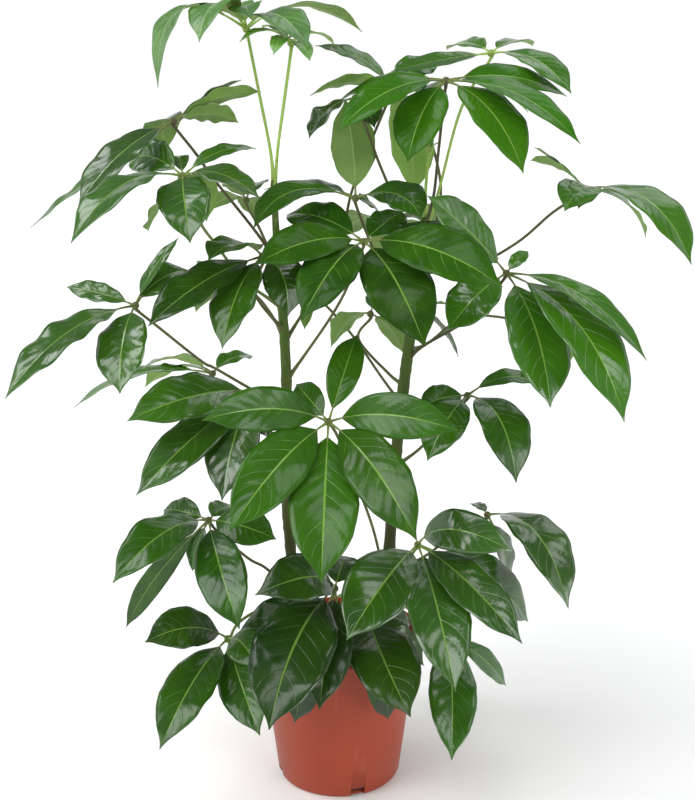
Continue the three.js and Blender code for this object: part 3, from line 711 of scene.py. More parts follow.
FRONDS["frond_back_left_upper"] = {
    "hub": [-125, 630, -130],
    "faces": [-0.2, 0.6, 0.9],
    "stem": ["left", 560],
    "by": [[-78, 590, -40], [-100, 617, -90]],
    "leaflets": [
        [-168, 594, 140, FAR, 48, 0, 0.15],
        [-124, 576, 140, FAR, 50, 0, 0.15],
        [-160, 645, 115, FAR, 44, 0, 0.12],
        [-98, 632, 115, FAR, 44, 0, 0.12],
    ],
}
FRONDS["frond_back_low"] = {
    "hub": [50, 245, -130],
    "faces": [0, 0.6, 0.9],
    "stem": ["right", 215],
    "by": [[55, 232, -70]],
    "leaflets": [
        [106, 200, 140, FAR, 50, 0, 0.15],
        [48, 155, 145, FAR, 52, 0, 0.15],
        [-5, 192, 140, FAR, 50, 0, 0.12],
        [82, 258, 115, FAR, 46, 0, 0.12],
    ],
}
FRONDS["frond_back_top"] = {
    "hub": [92, 838, -130],
    "faces": [0, 0.5, 1],
    "stem": ["right", 656],
    "by": [[114, 700, -60], [118, 745, -85], [104, 800, -115]],
    "leaflets": [
        [70, 800, 120, FAR, 44, 0, 0.15],
        [105, 800, 120, FAR, 44, 0, 0.15],
        [112, 845, 110, FAR, 42, 0, 0.12],
        [70, 850, 115, FAR, 42, 0, 0.12],
    ],
}

# Light: where the room's brightness changes, and each lamp's direction, spread in degrees, power
BACKDROP_LIGHT = (1, 1, 1, 1)
SIDE_LIGHT = (1.1, 1.12, 1.15, 1)
CAMERA_SIDE_LIGHT = (0.3, 0.3, 0.3, 1)
CEILING_LIGHT = (0.22, 0.225, 0.24, 1)
BACKDROP_EDGES = (0.3, 0.6)
SIDE_EDGES = (0.25, 0.4)
HORIZON_EDGES = (0.3, 0.02)
CEILING_EDGES = (0.4, 0.55)
FLOOR_HALF = 60
FLOOR_COLOUR = (0.93, 0.93, 0.93, 1)
FLOOR_ROUGHNESS = 0.8
LAMP_DISTANCE = 3
LAMPS = [
    ("left softbox", (-0.75, -0.43, 0.5), 36, 1.6),
    ("high left softbox", (-0.29, -0.5, 0.82), 28, 0.8),
    ("right softbox", (0.69, -0.69, 0.21), 32, 1.1),
    ("top left softbox", (-0.49, 0.09, 0.87), 24, 0.7),
    ("top right softbox", (0.43, -0.25, 0.87), 24, 0.4),
    ("back softbox", (0.32, 0.56, 0.77), 30, 0.35),
]

# The greens of a leaf's skin: dark, bright, warm, and on its veins
TOP_GREENS = (
    (0.006, 0.024, 0.003, 1),
    (0.032, 0.135, 0.004, 1),
    (0.055, 0.13, 0.004, 1),
    (0.2, 0.36, 0.06, 1),
)
UNDER_GREENS = (
    (0.085, 0.17, 0.03, 1),
    (0.19, 0.36, 0.06, 1),
    (0.38, 0.42, 0.2, 1),
    (0.33, 0.42, 0.17, 1),
)
YOUNG_GREENS = (
    (0.02, 0.08, 0.012, 1),
    (0.1, 0.26, 0.03, 1),
    (0.1, 0.26, 0.03, 1),
    (0.36, 0.48, 0.2, 1),
)
YOUNG_UNDER_GREENS = (
    (0.15, 0.28, 0.035, 1),
    (0.28, 0.42, 0.08, 1),
    (0.28, 0.42, 0.08, 1),
    (0.36, 0.48, 0.2, 1),
)

# Each skin of a leaf: its greens, its roughness, its shine, its share of the warm green, and
# whether its side veins stand out or lie in
RAISED = 1
SUNKEN = -1
SKINS = {
    "mature leaf top": (TOP_GREENS, 0.12, 0.5, 0.14, SUNKEN),
    "matt leaf top": (TOP_GREENS, 0.12, 0.15, 0.14, SUNKEN),
    "dull leaf top": (TOP_GREENS, 0.12, 0.32, 0.14, SUNKEN),
    "waxy leaf top": (TOP_GREENS, 0.12, 0.9, 0.14, SUNKEN),
    "leaf underside": (UNDER_GREENS, 0.5, 0.25, 0.1, RAISED),
    "young leaf top": (YOUNG_GREENS, 0.28, 0.9, 0.14, SUNKEN),
    "young leaf underside": (YOUNG_UNDER_GREENS, 0.5, 0.5, 0.14, RAISED),
}
LEAF_IOR = 1.45
USUAL_SHINE = 0.5

# Veins on a skin: where in its spacing a side vein begins and is full, how far out it is clear,
# the rib's width and taper as shares of the half blade, the part of it that is full, and how much
# paler they are
SIDE_VEIN_EDGES = (0.455, 0.495)
SIDE_VEIN_CLEAR = 0.3
SIDE_VEIN_PALENESS = 0.4
RIB_WIDTH = 0.048
RIB_TAPER = 0.03
RIB_CORE = 0.375
RIB_PALENESS = 0.45
RIB_PALER = 0.4

# Specks: how many to the metre, their detail, and how much closer they lie along x, y and z
LEAF_CLOUDS = (28, 4)
LEAF_PATCHES = (14, 4)
LEAF_GRAIN = (160, 4)
LEAF_WRINKLES = (70, 2)
STALK_CLOUDS = (45, 3)
STALK_FRECKLES = (420, 2)
BARK_STREAKS = (60, 5, (1, 1, 0.25))
BARK_SPOTS = (220, 3, (1, 1, 0.5))
POT_CLOUDS = (9, 3, (1, 1, 0.3))
POT_SCUFFS = (70, 6, (1, 1, 0.15))
POT_GRAIN = (420, 2)
SOIL_GRAINS = (240, 8)
CHIP_GRAINS = (120, 6, (1, 1, 3))

# The noise at which a speck begins and is full
LEAF_PATCH_EDGES = (0.35, 0.65)
FRECKLE_EDGES = (0.58, 0.7)
STREAK_EDGES = (0.45, 0.75)
SPOT_EDGES = (0.6, 0.72)
POT_CLOUD_EDGES = (0.3, 0.7)
SCUFF_EDGES = (0.62, 0.78)
GRAIN_EDGES = (0.35, 0.7)

# How much the specks show
LEAF_CLOUD_SHARE = 0.5
LEAF_GRAIN_ROUGHNESS = 0.12
LEAF_GRAIN_HEIGHT = 0.25
LEAF_WRINKLE_HEIGHT = 1.6
STALK_CLOUD_SHARE = 0.3
FRECKLE_SHARE = 0.5
STREAK_SHARE = 0.55
SPOT_SHARE = 0.35
SCUFF_SHARE = 0.25
SCUFF_ROUGHNESS = 0.2

# Relief: its strength, and its depth in metres
LEAF_BUMP = (0.35, 0.0008)
STALK_BUMP = (0.3, 0.0003)
BARK_BUMP = (0.4, 0.0006)
POT_BUMP = (0.08, 0.0004)
SOIL_BUMP = (0.9, 0.002)
CHIP_BUMP = (0.6, 0.001)

# Stalks, bark, pot and soil; bark turns from low to high between two heights in metres
STALK_DARK = (0.05, 0.034, 0.02, 1)
STALK_PALE = (0.27, 0.42, 0.08, 1)
STALK_SPECK = (0.12, 0.07, 0.03, 1)
STALK_ROUGHNESS = 0.45
BARK_LOW = (0.042, 0.048, 0.01, 1)
BARK_HIGH = (0.062, 0.115, 0.014, 1)
BARK_TURN = (0.25, 0.66)
BARK_DARK = (0.035, 0.03, 0.016, 1)
BARK_PALE = (0.24, 0.22, 0.14, 1)
BARK_ROUGHNESS = 0.62
BARK_SHINE = 0.25
POT_COLOUR = (0.31, 0.047, 0.019, 1)
POT_DEEP = (0.24, 0.035, 0.014, 1)
POT_SCUFF = (0.4, 0.12, 0.08, 1)
POT_ROUGHNESS = 0.42
POT_SHINE = 0.3
SOIL_COLOURS = ((0.008, 0.005, 0.003, 1), (0.06, 0.038, 0.022, 1))
CHIP_COLOURS = ((0.03, 0.015, 0.008, 1), (0.14, 0.075, 0.04, 1))

# Loose matter: its grains, its dark and pale colour, its roughness and its relief
LOOSE_MATTER = {
    "potting soil": (SOIL_GRAINS, SOIL_COLOURS, 0.95, SOIL_BUMP),
    "bark chips": (CHIP_GRAINS, CHIP_COLOURS, 0.85, CHIP_BUMP),
}

# The second and third material of a frond, and the second of the soil
UNDER_SLOT = 1
STALK_SLOT = 2
CHIP_SLOT = 1


# Objects
def add_object(name, content):
    holder = bpy.data.objects.new(name, content)
    bpy.context.scene.collection.objects.link(holder)
    return holder


def add_mesh(name, bm, scale):
    mesh = bpy.data.meshes.new(name)
    bm.to_mesh(mesh)
    bm.free()
    mesh.transform(Matrix.Scale(scale, 4))
    return add_object(name, mesh)


# Camera, floor and light
def add_camera():
    camera = bpy.data.cameras.new("camera")
    camera.lens = CAMERA_LENS
    camera.sensor_width = SENSOR_WIDTH
    holder = add_object("camera", camera)
    holder.location = EYE * MM
    holder.rotation_euler = (math.radians(90 - CAMERA_PITCH), 0, 0)
    bpy.context.scene.camera = holder


def add_lamp(name, direction, spread, power):
    light = bpy.data.lights.new(name, "SUN")
    light.angle = math.radians(spread)
    light.energy = power
    holder = add_object(name, light)
    holder.location = Vector(direction).normalized() * LAMP_DISTANCE
    holder.rotation_euler = (-Vector(direction)).to_track_quat("-Z", "Y").to_euler()


def add_room():
    """White behind the plant, bright at its sides, and darker behind the eye and above."""
    world = bpy.data.worlds.new("white room")
    world.use_nodes = True
    tree = world.node_tree
    direction = add_node(tree, "ShaderNodeTexCoord").outputs["Generated"]
    parts = add_node(tree, "ShaderNodeSeparateXYZ", {"Vector": direction})
    aside = band(tree, sums(tree, "ABSOLUTE", parts.outputs["X"]), *SIDE_EDGES)
    behind = band(tree, parts.outputs["Y"], *BACKDROP_EDGES)
    low = band(tree, parts.outputs["Z"], *HORIZON_EDGES)
    above = band(tree, parts.outputs["Z"], *CEILING_EDGES)
    light = blend(tree, aside, CAMERA_SIDE_LIGHT, SIDE_LIGHT)
    light = blend(tree, behind, light, BACKDROP_LIGHT)
    light = blend(tree, low, light, BACKDROP_LIGHT)
    light = blend(tree, above, light, CEILING_LIGHT)
    tree.links.new(light, tree.nodes["Background"].inputs["Color"])
    bpy.context.scene.world = world


def add_floor():
    bm = bmesh.new()
    bmesh.ops.create_grid(bm, x_segments=1, y_segments=1, size=FLOOR_HALF)
    floor = add_mesh("floor", bm, 1)
    finish, _, shader = new_finish("pale floor")
    shader.inputs["Base Color"].default_value = FLOOR_COLOUR
    shader.inputs["Roughness"].default_value = FLOOR_ROUGHNESS
    floor.data.materials.append(finish)


# Finishes
def new_finish(name):
    finish = bpy.data.materials.new(name)
    finish.use_nodes = True
    tree = finish.node_tree
    return finish, tree, tree.nodes["Principled BSDF"]


def feed(tree, socket, value):
    """Links the socket to another node's, or sets a plain value on it."""
    if isinstance(value, bpy.types.NodeSocket):
        tree.links.new(value, socket)
    else:
        socket.default_value = value


def add_node(tree, kind, inputs=(), **settings):
    """A node with its settings made and its inputs fed."""
    node = tree.nodes.new(kind)
    for key, value in settings.items():
        setattr(node, key, value)
    for key, value in dict(inputs).items():
        feed(tree, node.inputs[key], value)
    return node


def sums(tree, operation, first, second=0.0):
    inputs = {0: first, 1: second}
    return add_node(tree, "ShaderNodeMath", inputs, operation=operation).outputs[0]


def plus(tree, first, second):
    return sums(tree, "ADD", first, second)


def minus(tree, first, second):
    return sums(tree, "SUBTRACT", first, second)


def times(tree, first, second):
    return sums(tree, "MULTIPLY", first, second)


def blend(tree, share, first, second):
    """The first colour turning into the second."""
    inputs = {"Factor": share, "A": first, "B": second}
    node = add_node(tree, "ShaderNodeMix", (), data_type="RGBA")
    for key, value in inputs.items():
        feed(tree, next(s for s in node.inputs if s.name == key and s.enabled), value)
    return next(s for s in node.outputs if s.enabled)


def band(tree, value, low, high):
    """0 below low, 1 above high, and smooth between; turned round where low is the larger."""
    inputs = {"Value": value, "From Min": low, "From Max": high}
    node = add_node(tree, "ShaderNodeMapRange", inputs, interpolation_type="SMOOTHSTEP")
    return node.outputs["Result"]


def speckle(tree, scale, detail, stretch=(1, 1, 1)):
    """Noise in the object's own space."""
    place = add_node(tree, "ShaderNodeTexCoord").outputs["Object"]
    place = add_node(tree, "ShaderNodeMapping", {"Vector": place, "Scale": stretch}).outputs[0]
    inputs = {"Vector": place, "Scale": scale, "Detail": detail}
    return add_node(tree, "ShaderNodeTexNoise", inputs).outputs["Fac"]


def set_surface(tree, shader, colour, roughness, shine, height, relief):
    """Colour, gloss, and relief of that strength and depth where the height goes up."""
    feed(tree, shader.inputs["Base Color"], colour)
    feed(tree, shader.inputs["Roughness"], roughness)
    shader.inputs["Specular IOR Level"].default_value = shine
    inputs = {"Height": height, "Strength": relief[0], "Distance": relief[1]}
    bump = add_node(tree, "ShaderNodeBump", inputs)
    tree.links.new(bump.outputs["Normal"], shader.inputs["Normal"])


def look_of(tree):
    """What a frond's mesh says of its look: brightness, clearness of the veins, and chance."""
    look = add_node(tree, "ShaderNodeAttribute", (), attribute_name="look").outputs["Color"]
    return add_node(tree, "ShaderNodeSeparateColor", {"Color": look}).outputs


def vein_mask(tree):
    """Bright on the rib and the side veins, in the blade's own coordinates."""
    place = add_node(tree, "ShaderNodeUVMap", (), uv_map="UVMap").outputs["UV"]
    parts = add_node(tree, "ShaderNodeSeparateXYZ", {"Vector": place})
    across, along = parts.outputs["X"], parts.outputs["Y"]
    share = minus(tree, times(tree, across, 2.0), 1.0)
    reach = sums(tree, "POWER", sums(tree, "ABSOLUTE", share), BLADE_CROWDING)
    lean = times(tree, reach, VEIN_LEAN)
    curve = times(tree, sums(tree, "POWER", reach, 2.0), VEIN_CURVE)
    other_side = times(tree, sums(tree, "GREATER_THAN", share, 0.0), VEIN_STAGGER)
    count = times(tree, along, float(VEIN_PAIRS))
    count = minus(tree, minus(tree, count, lean), curve)
    part = sums(tree, "FRACT", plus(tree, count, other_side))
    off = sums(tree, "ABSOLUTE", minus(tree, part, 0.5))
    outward = band(tree, reach, 1.0, SIDE_VEIN_CLEAR)
    side = times(tree, band(tree, off, *SIDE_VEIN_EDGES), outward)
    width = minus(tree, RIB_WIDTH, times(tree, along, RIB_TAPER))
    rib = band(tree, sums(tree, "DIVIDE", reach, width), 1.0, RIB_CORE)
    return rib, side


def leaf_finish(name, greens, roughness, shine, warmth, vein_rise):
    """Clouded green that a frond's look shifts, with paler veins, fine grain and wrinkles."""
    dark, bright, warm, vein = greens
    finish, tree, shader = new_finish(name)
    look = look_of(tree)
    rib, side = vein_mask(tree)
    clouds = speckle(tree, *LEAF_CLOUDS)
    # The frond's brightness shifts the green: partly its own green, partly painted light and shade
    light = plus(tree, look["Red"], times(tree, clouds, LEAF_CLOUD_SHARE))
    light = band(tree, minus(tree, light, LEAF_CLOUD_SHARE / 2), 0.0, 1.0)
    colour = blend(tree, light, dark, bright)
    patches = band(tree, speckle(tree, *LEAF_PATCHES), *LEAF_PATCH_EDGES)
    warming = times(tree, plus(tree, look["Blue"], patches), warmth)
    colour = blend(tree, warming, colour, warm)
    # Ribs are paler on brighter fronds, so they carry the same painted light and shade
    rib_share = plus(tree, times(tree, look["Red"], RIB_PALER), RIB_PALENESS)
    clear = times(tree, look["Green"], band(tree, clouds, *LEAF_PATCH_EDGES))
    faint = times(tree, times(tree, side, clear), SIDE_VEIN_PALENESS)
    veins = sums(tree, "MAXIMUM", times(tree, rib, rib_share), faint)
    colour = blend(tree, veins, colour, vein)
    grain = speckle(tree, *LEAF_GRAIN)
    rough = plus(tree, times(tree, grain, LEAF_GRAIN_ROUGHNESS), roughness)
    wrinkles = times(tree, speckle(tree, *LEAF_WRINKLES), LEAF_WRINKLE_HEIGHT)
    height = plus(tree, wrinkles, times(tree, grain, LEAF_GRAIN_HEIGHT))
    height = plus(tree, height, times(tree, side, vein_rise))
    set_surface(tree, shader, colour, rough, shine, height, LEAF_BUMP)
    shader.inputs["IOR"].default_value = LEAF_IOR
    return finish


def bark_finish():
    """Bark that turns from brown to green with height, with fine cracks and pale spots."""
    finish, tree, shader = new_finish("stem bark")
    place = add_node(tree, "ShaderNodeTexCoord").outputs["Object"]
    height = add_node(tree, "ShaderNodeSeparateXYZ", {"Vector": place}).outputs["Z"]
    colour = blend(tree, band(tree, height, *BARK_TURN), BARK_LOW, BARK_HIGH)
    streaks = speckle(tree, *BARK_STREAKS)
    cracks = times(tree, band(tree, streaks, *STREAK_EDGES), STREAK_SHARE)
    colour = blend(tree, cracks, colour, BARK_DARK)
    spots = band(tree, speckle(tree, *BARK_SPOTS), *SPOT_EDGES)
    colour = blend(tree, times(tree, spots, SPOT_SHARE), colour, BARK_PALE)
    height = plus(tree, streaks, spots)
    set_surface(tree, shader, colour, BARK_ROUGHNESS, BARK_SHINE, height, BARK_BUMP)
    return finish


def stalk_finish():
    """Smooth skin, from purple brown to light green by the frond, freckled along its length."""
    finish, tree, shader = new_finish("leaf stalk")
    clouds = times(tree, speckle(tree, *STALK_CLOUDS), STALK_CLOUD_SHARE)
    paleness = plus(tree, look_of(tree)["Red"], clouds)
    paleness = minus(tree, paleness, STALK_CLOUD_SHARE / 2)
    colour = blend(tree, paleness, STALK_DARK, STALK_PALE)
    freckles = band(tree, speckle(tree, *STALK_FRECKLES), *FRECKLE_EDGES)
    colour = blend(tree, times(tree, freckles, FRECKLE_SHARE), colour, STALK_SPECK)
    set_surface(tree, shader, colour, STALK_ROUGHNESS, BARK_SHINE, freckles, STALK_BUMP)
    return finish


def pot_finish():
    """Satin plastic with faint clouds, a fine grain and pale scuffs that run round it."""
    finish, tree, shader = new_finish("terracotta plastic")
    clouds = band(tree, speckle(tree, *POT_CLOUDS), *POT_CLOUD_EDGES)
    colour = blend(tree, clouds, POT_DEEP, POT_COLOUR)
    scuffs = band(tree, speckle(tree, *POT_SCUFFS), *SCUFF_EDGES)
    colour = blend(tree, times(tree, scuffs, SCUFF_SHARE), colour, POT_SCUFF)
    rough = plus(tree, times(tree, scuffs, SCUFF_ROUGHNESS), POT_ROUGHNESS)
    set_surface(tree, shader, colour, rough, POT_SHINE, speckle(tree, *POT_GRAIN), POT_BUMP)
    return finish


def loose_finish(name, specks, colours, roughness, relief):
    """Rough matter whose grains go from dark to pale."""
    finish, tree, shader = new_finish(name)
    grains = speckle(tree, *specks)
    colour = blend(tree, band(tree, grains, *GRAIN_EDGES), *colours)
    set_surface(tree, shader, colour, roughness, USUAL_SHINE, grains, relief)
    return finish


# Shared shaping
def seen(across, up, forward):
    """The point drawn at (across, up) on the pot's upright plane, moved along its sight line."""
    share = 1 - forward / -EYE.y
    return EYE + (Vector((across, 0, up)) - EYE) * share


def smooth_path(points, steps):
    """Points along one smooth curve through the given ones, with that many to a span."""
    reach = [points[0] * 2 - points[1], *points, points[-1] * 2 - points[-2]]
    path = []
    for before, start, end, after in zip(reach, reach[1:], reach[2:], reach[3:]):
        leaving = start + (end - before) / HANDLE_PARTS
        arriving = end - (after - start) / HANDLE_PARTS
        path.extend(interpolate_bezier(start, leaving, arriving, end, steps + 1)[:-1])
    return [*path, points[-1].copy()]


def add_rod(bm, path, radii, sides):
    """A round rod: one ring is drawn, and extruded from point to point along the path."""
    first = set(bm.faces)
    ring = bmesh.ops.create_circle(bm, cap_ends=True, segments=sides, radius=radii[0])["verts"]
    heading = (path[1] - path[0]).normalized()
    matrix = UP.rotation_difference(heading).to_matrix()
    bmesh.ops.rotate(bm, verts=ring, cent=(0, 0, 0), matrix=matrix)
    bmesh.ops.translate(bm, verts=ring, vec=path[0])
    edges = list({edge for vertex in ring for edge in vertex.link_edges})
    for i in range(1, len(path)):
        geometry = bmesh.ops.extrude_edge_only(bm, edges=edges)["geom"]
        ring = [item for item in geometry if isinstance(item, bmesh.types.BMVert)]
        edges = [item for item in geometry if isinstance(item, bmesh.types.BMEdge)]
        bmesh.ops.translate(bm, verts=ring, vec=path[i] - path[i - 1])
        turned = (path[min(i + 1, len(path) - 1)] - path[i - 1]).normalized()
        matrix = heading.rotation_difference(turned).to_matrix()
        bmesh.ops.rotate(bm, verts=ring, cent=path[i], matrix=matrix)
        growth = radii[i] / radii[i - 1]
        space = Matrix.Translation(-path[i])
        bmesh.ops.scale(bm, verts=ring, vec=(growth, growth, growth), space=space)
        heading = turned
    bmesh.ops.holes_fill(bm, edges=edges, sides=sides)
    return set(bm.faces) - first


def dress_stalk(faces, look_layer, paleness):
    for face in faces:
        face.material_index = STALK_SLOT
        for vertex in face.verts:
            vertex[look_layer] = (paleness, 0, 0, 1)


def finish_piece(bm, name, finishes, nodes):
    """Closes the mesh, brings it to metres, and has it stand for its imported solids."""
    bmesh.ops.remove_doubles(bm, verts=bm.verts, dist=PIECE_WELD)
    bmesh.ops.recalc_face_normals(bm, faces=bm.faces)
    for face in bm.faces:
        face.smooth = True
    piece = add_mesh(name, bm, MM)
    for finish in finishes:
        piece.data.materials.append(finish)
    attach(piece, "root")
    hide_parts(*nodes)
    return piece


# Pot
def pot_wall(height):
    slope = (POT_RIM_RADIUS - POT_LIP_OVERHANG - POT_BASE_RADIUS) / (POT_HEIGHT - POT_LIP_HEIGHT)
    return POT_BASE_RADIUS + slope * height


def turn_profile(bm, profile, steps):
    """A profile of radius and height, spun round the upright axis."""
    vertices = [bm.verts.new((radius, 0, height)) for radius, height in profile]
    edges = [bm.edges.new(pair) for pair in zip(vertices, vertices[1:])]
    turn = {"cent": (0, 0, 0), "axis": UP, "angle": math.tau, "steps": steps}
    bmesh.ops.spin(bm, geom=[*vertices, *edges], use_merge=True, **turn)
    bmesh.ops.remove_doubles(bm, verts=bm.verts, dist=TURN_WELD)
    bmesh.ops.recalc_face_normals(bm, faces=bm.faces)


def cut_away(piece, cutter_bm):
    """Takes the cutter's volume out of the piece."""
    cutter = add_mesh("cutter", cutter_bm, MM)
    modifier = piece.modifiers.new("cut", "BOOLEAN")
    modifier.operation = "DIFFERENCE"
    modifier.solver = "EXACT"
    modifier.object = cutter
    view = bpy.context.evaluated_depsgraph_get()
    cut = bpy.data.meshes.new_from_object(piece.evaluated_get(view))
    piece.modifiers.clear()
    piece.data = cut
    bpy.data.objects.remove(cutter)


def make_pot(finish):
    lip = POT_HEIGHT - POT_LIP_HEIGHT
    inner_rim = pot_wall(POT_HEIGHT) - POT_WALL
    profile = [(0, 0)]
    profile += [(POT_BASE_RADIUS - inset, rise) for inset, rise in POT_FOOT]
    profile += [(pot_wall(height), height) for height in POT_OUTSIDE]
    profile += [(pot_wall(lip) + out, lip - drop) for out, drop in POT_NECK]
    profile += [(POT_RIM_RADIUS - inset, POT_HEIGHT - drop) for inset, drop in POT_LIP]
    profile += [(inner_rim + out, POT_HEIGHT - drop) for out, drop in POT_MOUTH]
    profile += [(pot_wall(height) - POT_WALL, height) for height in POT_INSIDE]
    profile += [(POT_BASE_RADIUS - POT_WALL - POT_FLOOR_CORNER, POT_FLOOR), (0, POT_FLOOR)]
    bm = bmesh.new()
    turn_profile(bm, profile, POT_STEPS)
    pot = finish_piece(bm, "nursery_pot", [finish], ["pot"])
    cutters = bmesh.new()
    for turn in NOTCH_TURNS:
        block = bmesh.ops.create_cube(cutters, size=1)["verts"]
        bmesh.ops.scale(cutters, verts=block, vec=(NOTCH_WIDTH, NOTCH_DEPTH, NOTCH_HEIGHT * 2))
        bmesh.ops.translate(cutters, verts=block, vec=(0, -POT_BASE_RADIUS, 0))
        matrix = Matrix.Rotation(math.radians(turn), 3, "Z")
        bmesh.ops.rotate(cutters, verts=block, cent=(0, 0, 0), matrix=matrix)
    for i in range(DRAIN_COUNT):
        sizes = {"radius1": DRAIN_RADIUS, "radius2": DRAIN_RADIUS, "depth": POT_FLOOR * 4}
        cone = bmesh.ops.create_cone(cutters, cap_ends=True, segments=DRAIN_SIDES, **sizes)
        drill = cone["verts"]
        bmesh.ops.translate(cutters, verts=drill, vec=(DRAIN_CIRCLE, 0, 0))
        matrix = Matrix.Rotation((i + 0.5) / DRAIN_COUNT * math.tau, 3, "Z")
        bmesh.ops.rotate(cutters, verts=drill, cent=(0, 0, 0), matrix=matrix)
    cut_away(pot, cutters)


# Soil
def add_chip(bm, draw, spread):
    """One flat chip of bark, lying on the soil's lumps."""
    turn = draw.uniform(0, math.tau)
    radius = spread * math.sqrt(draw.random())
    place = Vector((math.cos(turn) * radius, math.sin(turn) * radius, SOIL_LEVEL))
    place.z += noise.noise(place * LUMP_SCALE) * SOIL_LUMPS + CHIP_RISE
    start = set(bm.faces)
    chip = bmesh.ops.create_icosphere(bm, subdivisions=1, radius=1)["verts"]
    size = draw.uniform(*CHIP_SIZES)
    length = size * draw.uniform(*CHIP_LENGTHS)
    bmesh.ops.scale(bm, verts=chip, vec=(length, size, size * CHIP_FLATNESS))
    tilt = draw.uniform(-CHIP_TILT, CHIP_TILT)
    lean = draw.uniform(-CHIP_TILT, CHIP_TILT)
    heading = draw.uniform(0, math.tau)
    matrix = Matrix.Rotation(heading, 3, "Z") @ Matrix.Rotation(tilt, 3, "X")
    matrix = matrix @ Matrix.Rotation(lean, 3, "Y")
    bmesh.ops.rotate(bm, verts=chip, cent=(0, 0, 0), matrix=matrix)
    bmesh.ops.translate(bm, verts=chip, vec=place)
    for face in set(bm.faces) - start:
        face.material_index = CHIP_SLOT


def make_soil(finishes):
    """The filled pot's soil, with lumps and crumbs on its top."""
    clear = POT_WALL + SOIL_GAP
    top = pot_wall(SOIL_LEVEL) - clear
    profile = [
        (0, POT_FLOOR + SOIL_GAP),
        (POT_BASE_RADIUS - clear - SOIL_FOOT_INSET, POT_FLOOR + SOIL_GAP),
        (pot_wall(SOIL_CORNER) - clear - SOIL_CORNER_SPARE, SOIL_CORNER),
        (top, SOIL_LEVEL - SOIL_EDGE),
    ]
    for ring in range(SOIL_RINGS - 1, -1, -1):
        profile.append((top * ring / SOIL_RINGS, SOIL_LEVEL))
    bm = bmesh.new()
    turn_profile(bm, profile, SOIL_STEPS)
    for vertex in bm.verts:
        if vertex.co.z < SOIL_LEVEL - SOIL_EDGE / 2:
            continue
        place = vertex.co.copy()
        lumps = noise.noise(place * LUMP_SCALE) * SOIL_LUMPS
        crumbs = sum(noise.noise(place * scale) * height for scale, height in SOIL_CRUMBS)
        vertex.co.z += lumps + crumbs
    draw = random.Random(CHIP_SEED)
    for _ in range(CHIP_COUNT):
        add_chip(bm, draw, top * CHIP_SPREAD)
    finish_piece(bm, "potting_soil", finishes, ["soil"])


# Stems
def stem_path(stem):
    points = [seen(across, up, stem["forward"]) for across, up, _ in stem["points"]]
    return smooth_path(points, STEM_SPAN_STEPS)


def stem_point_at(stem, height):
    return min(stem_path(stem), key=lambda point: abs(point.z - height))


def make_stem(side, finish):
    """A stem that swells at each leaf scar and each petiole."""
    stem = STEMS[side]
    path = stem_path(stem)
    draw = random.Random(side)
    scars = [frond["stem"][1] for frond in FRONDS.values() if frond["stem"][0] == side]
    scars += [seen(0, up, 0).z + draw.uniform(-SCAR_SHIFT, SCAR_SHIFT) for up in SCAR_HEIGHTS]
    radii = []
    for i, point in enumerate(path):
        place = i / STEM_SPAN_STEPS
        index = min(int(place), len(stem["points"]) - 2)
        start, end = stem["points"][index][2], stem["points"][index + 1][2]
        radius = start + (end - start) * (place - index) - STEM_SLIMMER
        nearest = min(abs(point.z - scar) for scar in scars)
        swelling = SCAR_SWELLING * math.exp(-((nearest / SCAR_LENGTH) ** 2))
        radius += swelling + STEM_UNEVENNESS * noise.noise(point * STEM_UNEVEN_SCALE)
        radii.append(radius)
    radii[-1] *= STEM_END
    bm = bmesh.new()
    add_rod(bm, path, radii, STEM_SIDES)
    finish_piece(bm, "woody_stem_" + side, [finish], ["stem_" + side])


# Fronds
def outline_at(along):
    """The blade's half width as a share of its widest."""
    for (start, low), (end, high) in zip(BLADE_OUTLINE, BLADE_OUTLINE[1:]):
        if along <= end:
            return low + (high - low) * (along - start) / (end - start)
    return 0


def tip_of(hub, across, up, reach, side):
    """The tip lies on its line of sight, at the leaflet's own reach from the hub."""
    sight = Vector((across, 0, up)) - EYE
    to_eye = EYE - hub
    a = sight.dot(sight)
    b = sight.dot(to_eye)
    c = to_eye.dot(to_eye) - reach * reach
    root = math.sqrt(max(0, b * b - a * c))
    return EYE + sight * ((-b - side * root) / a)


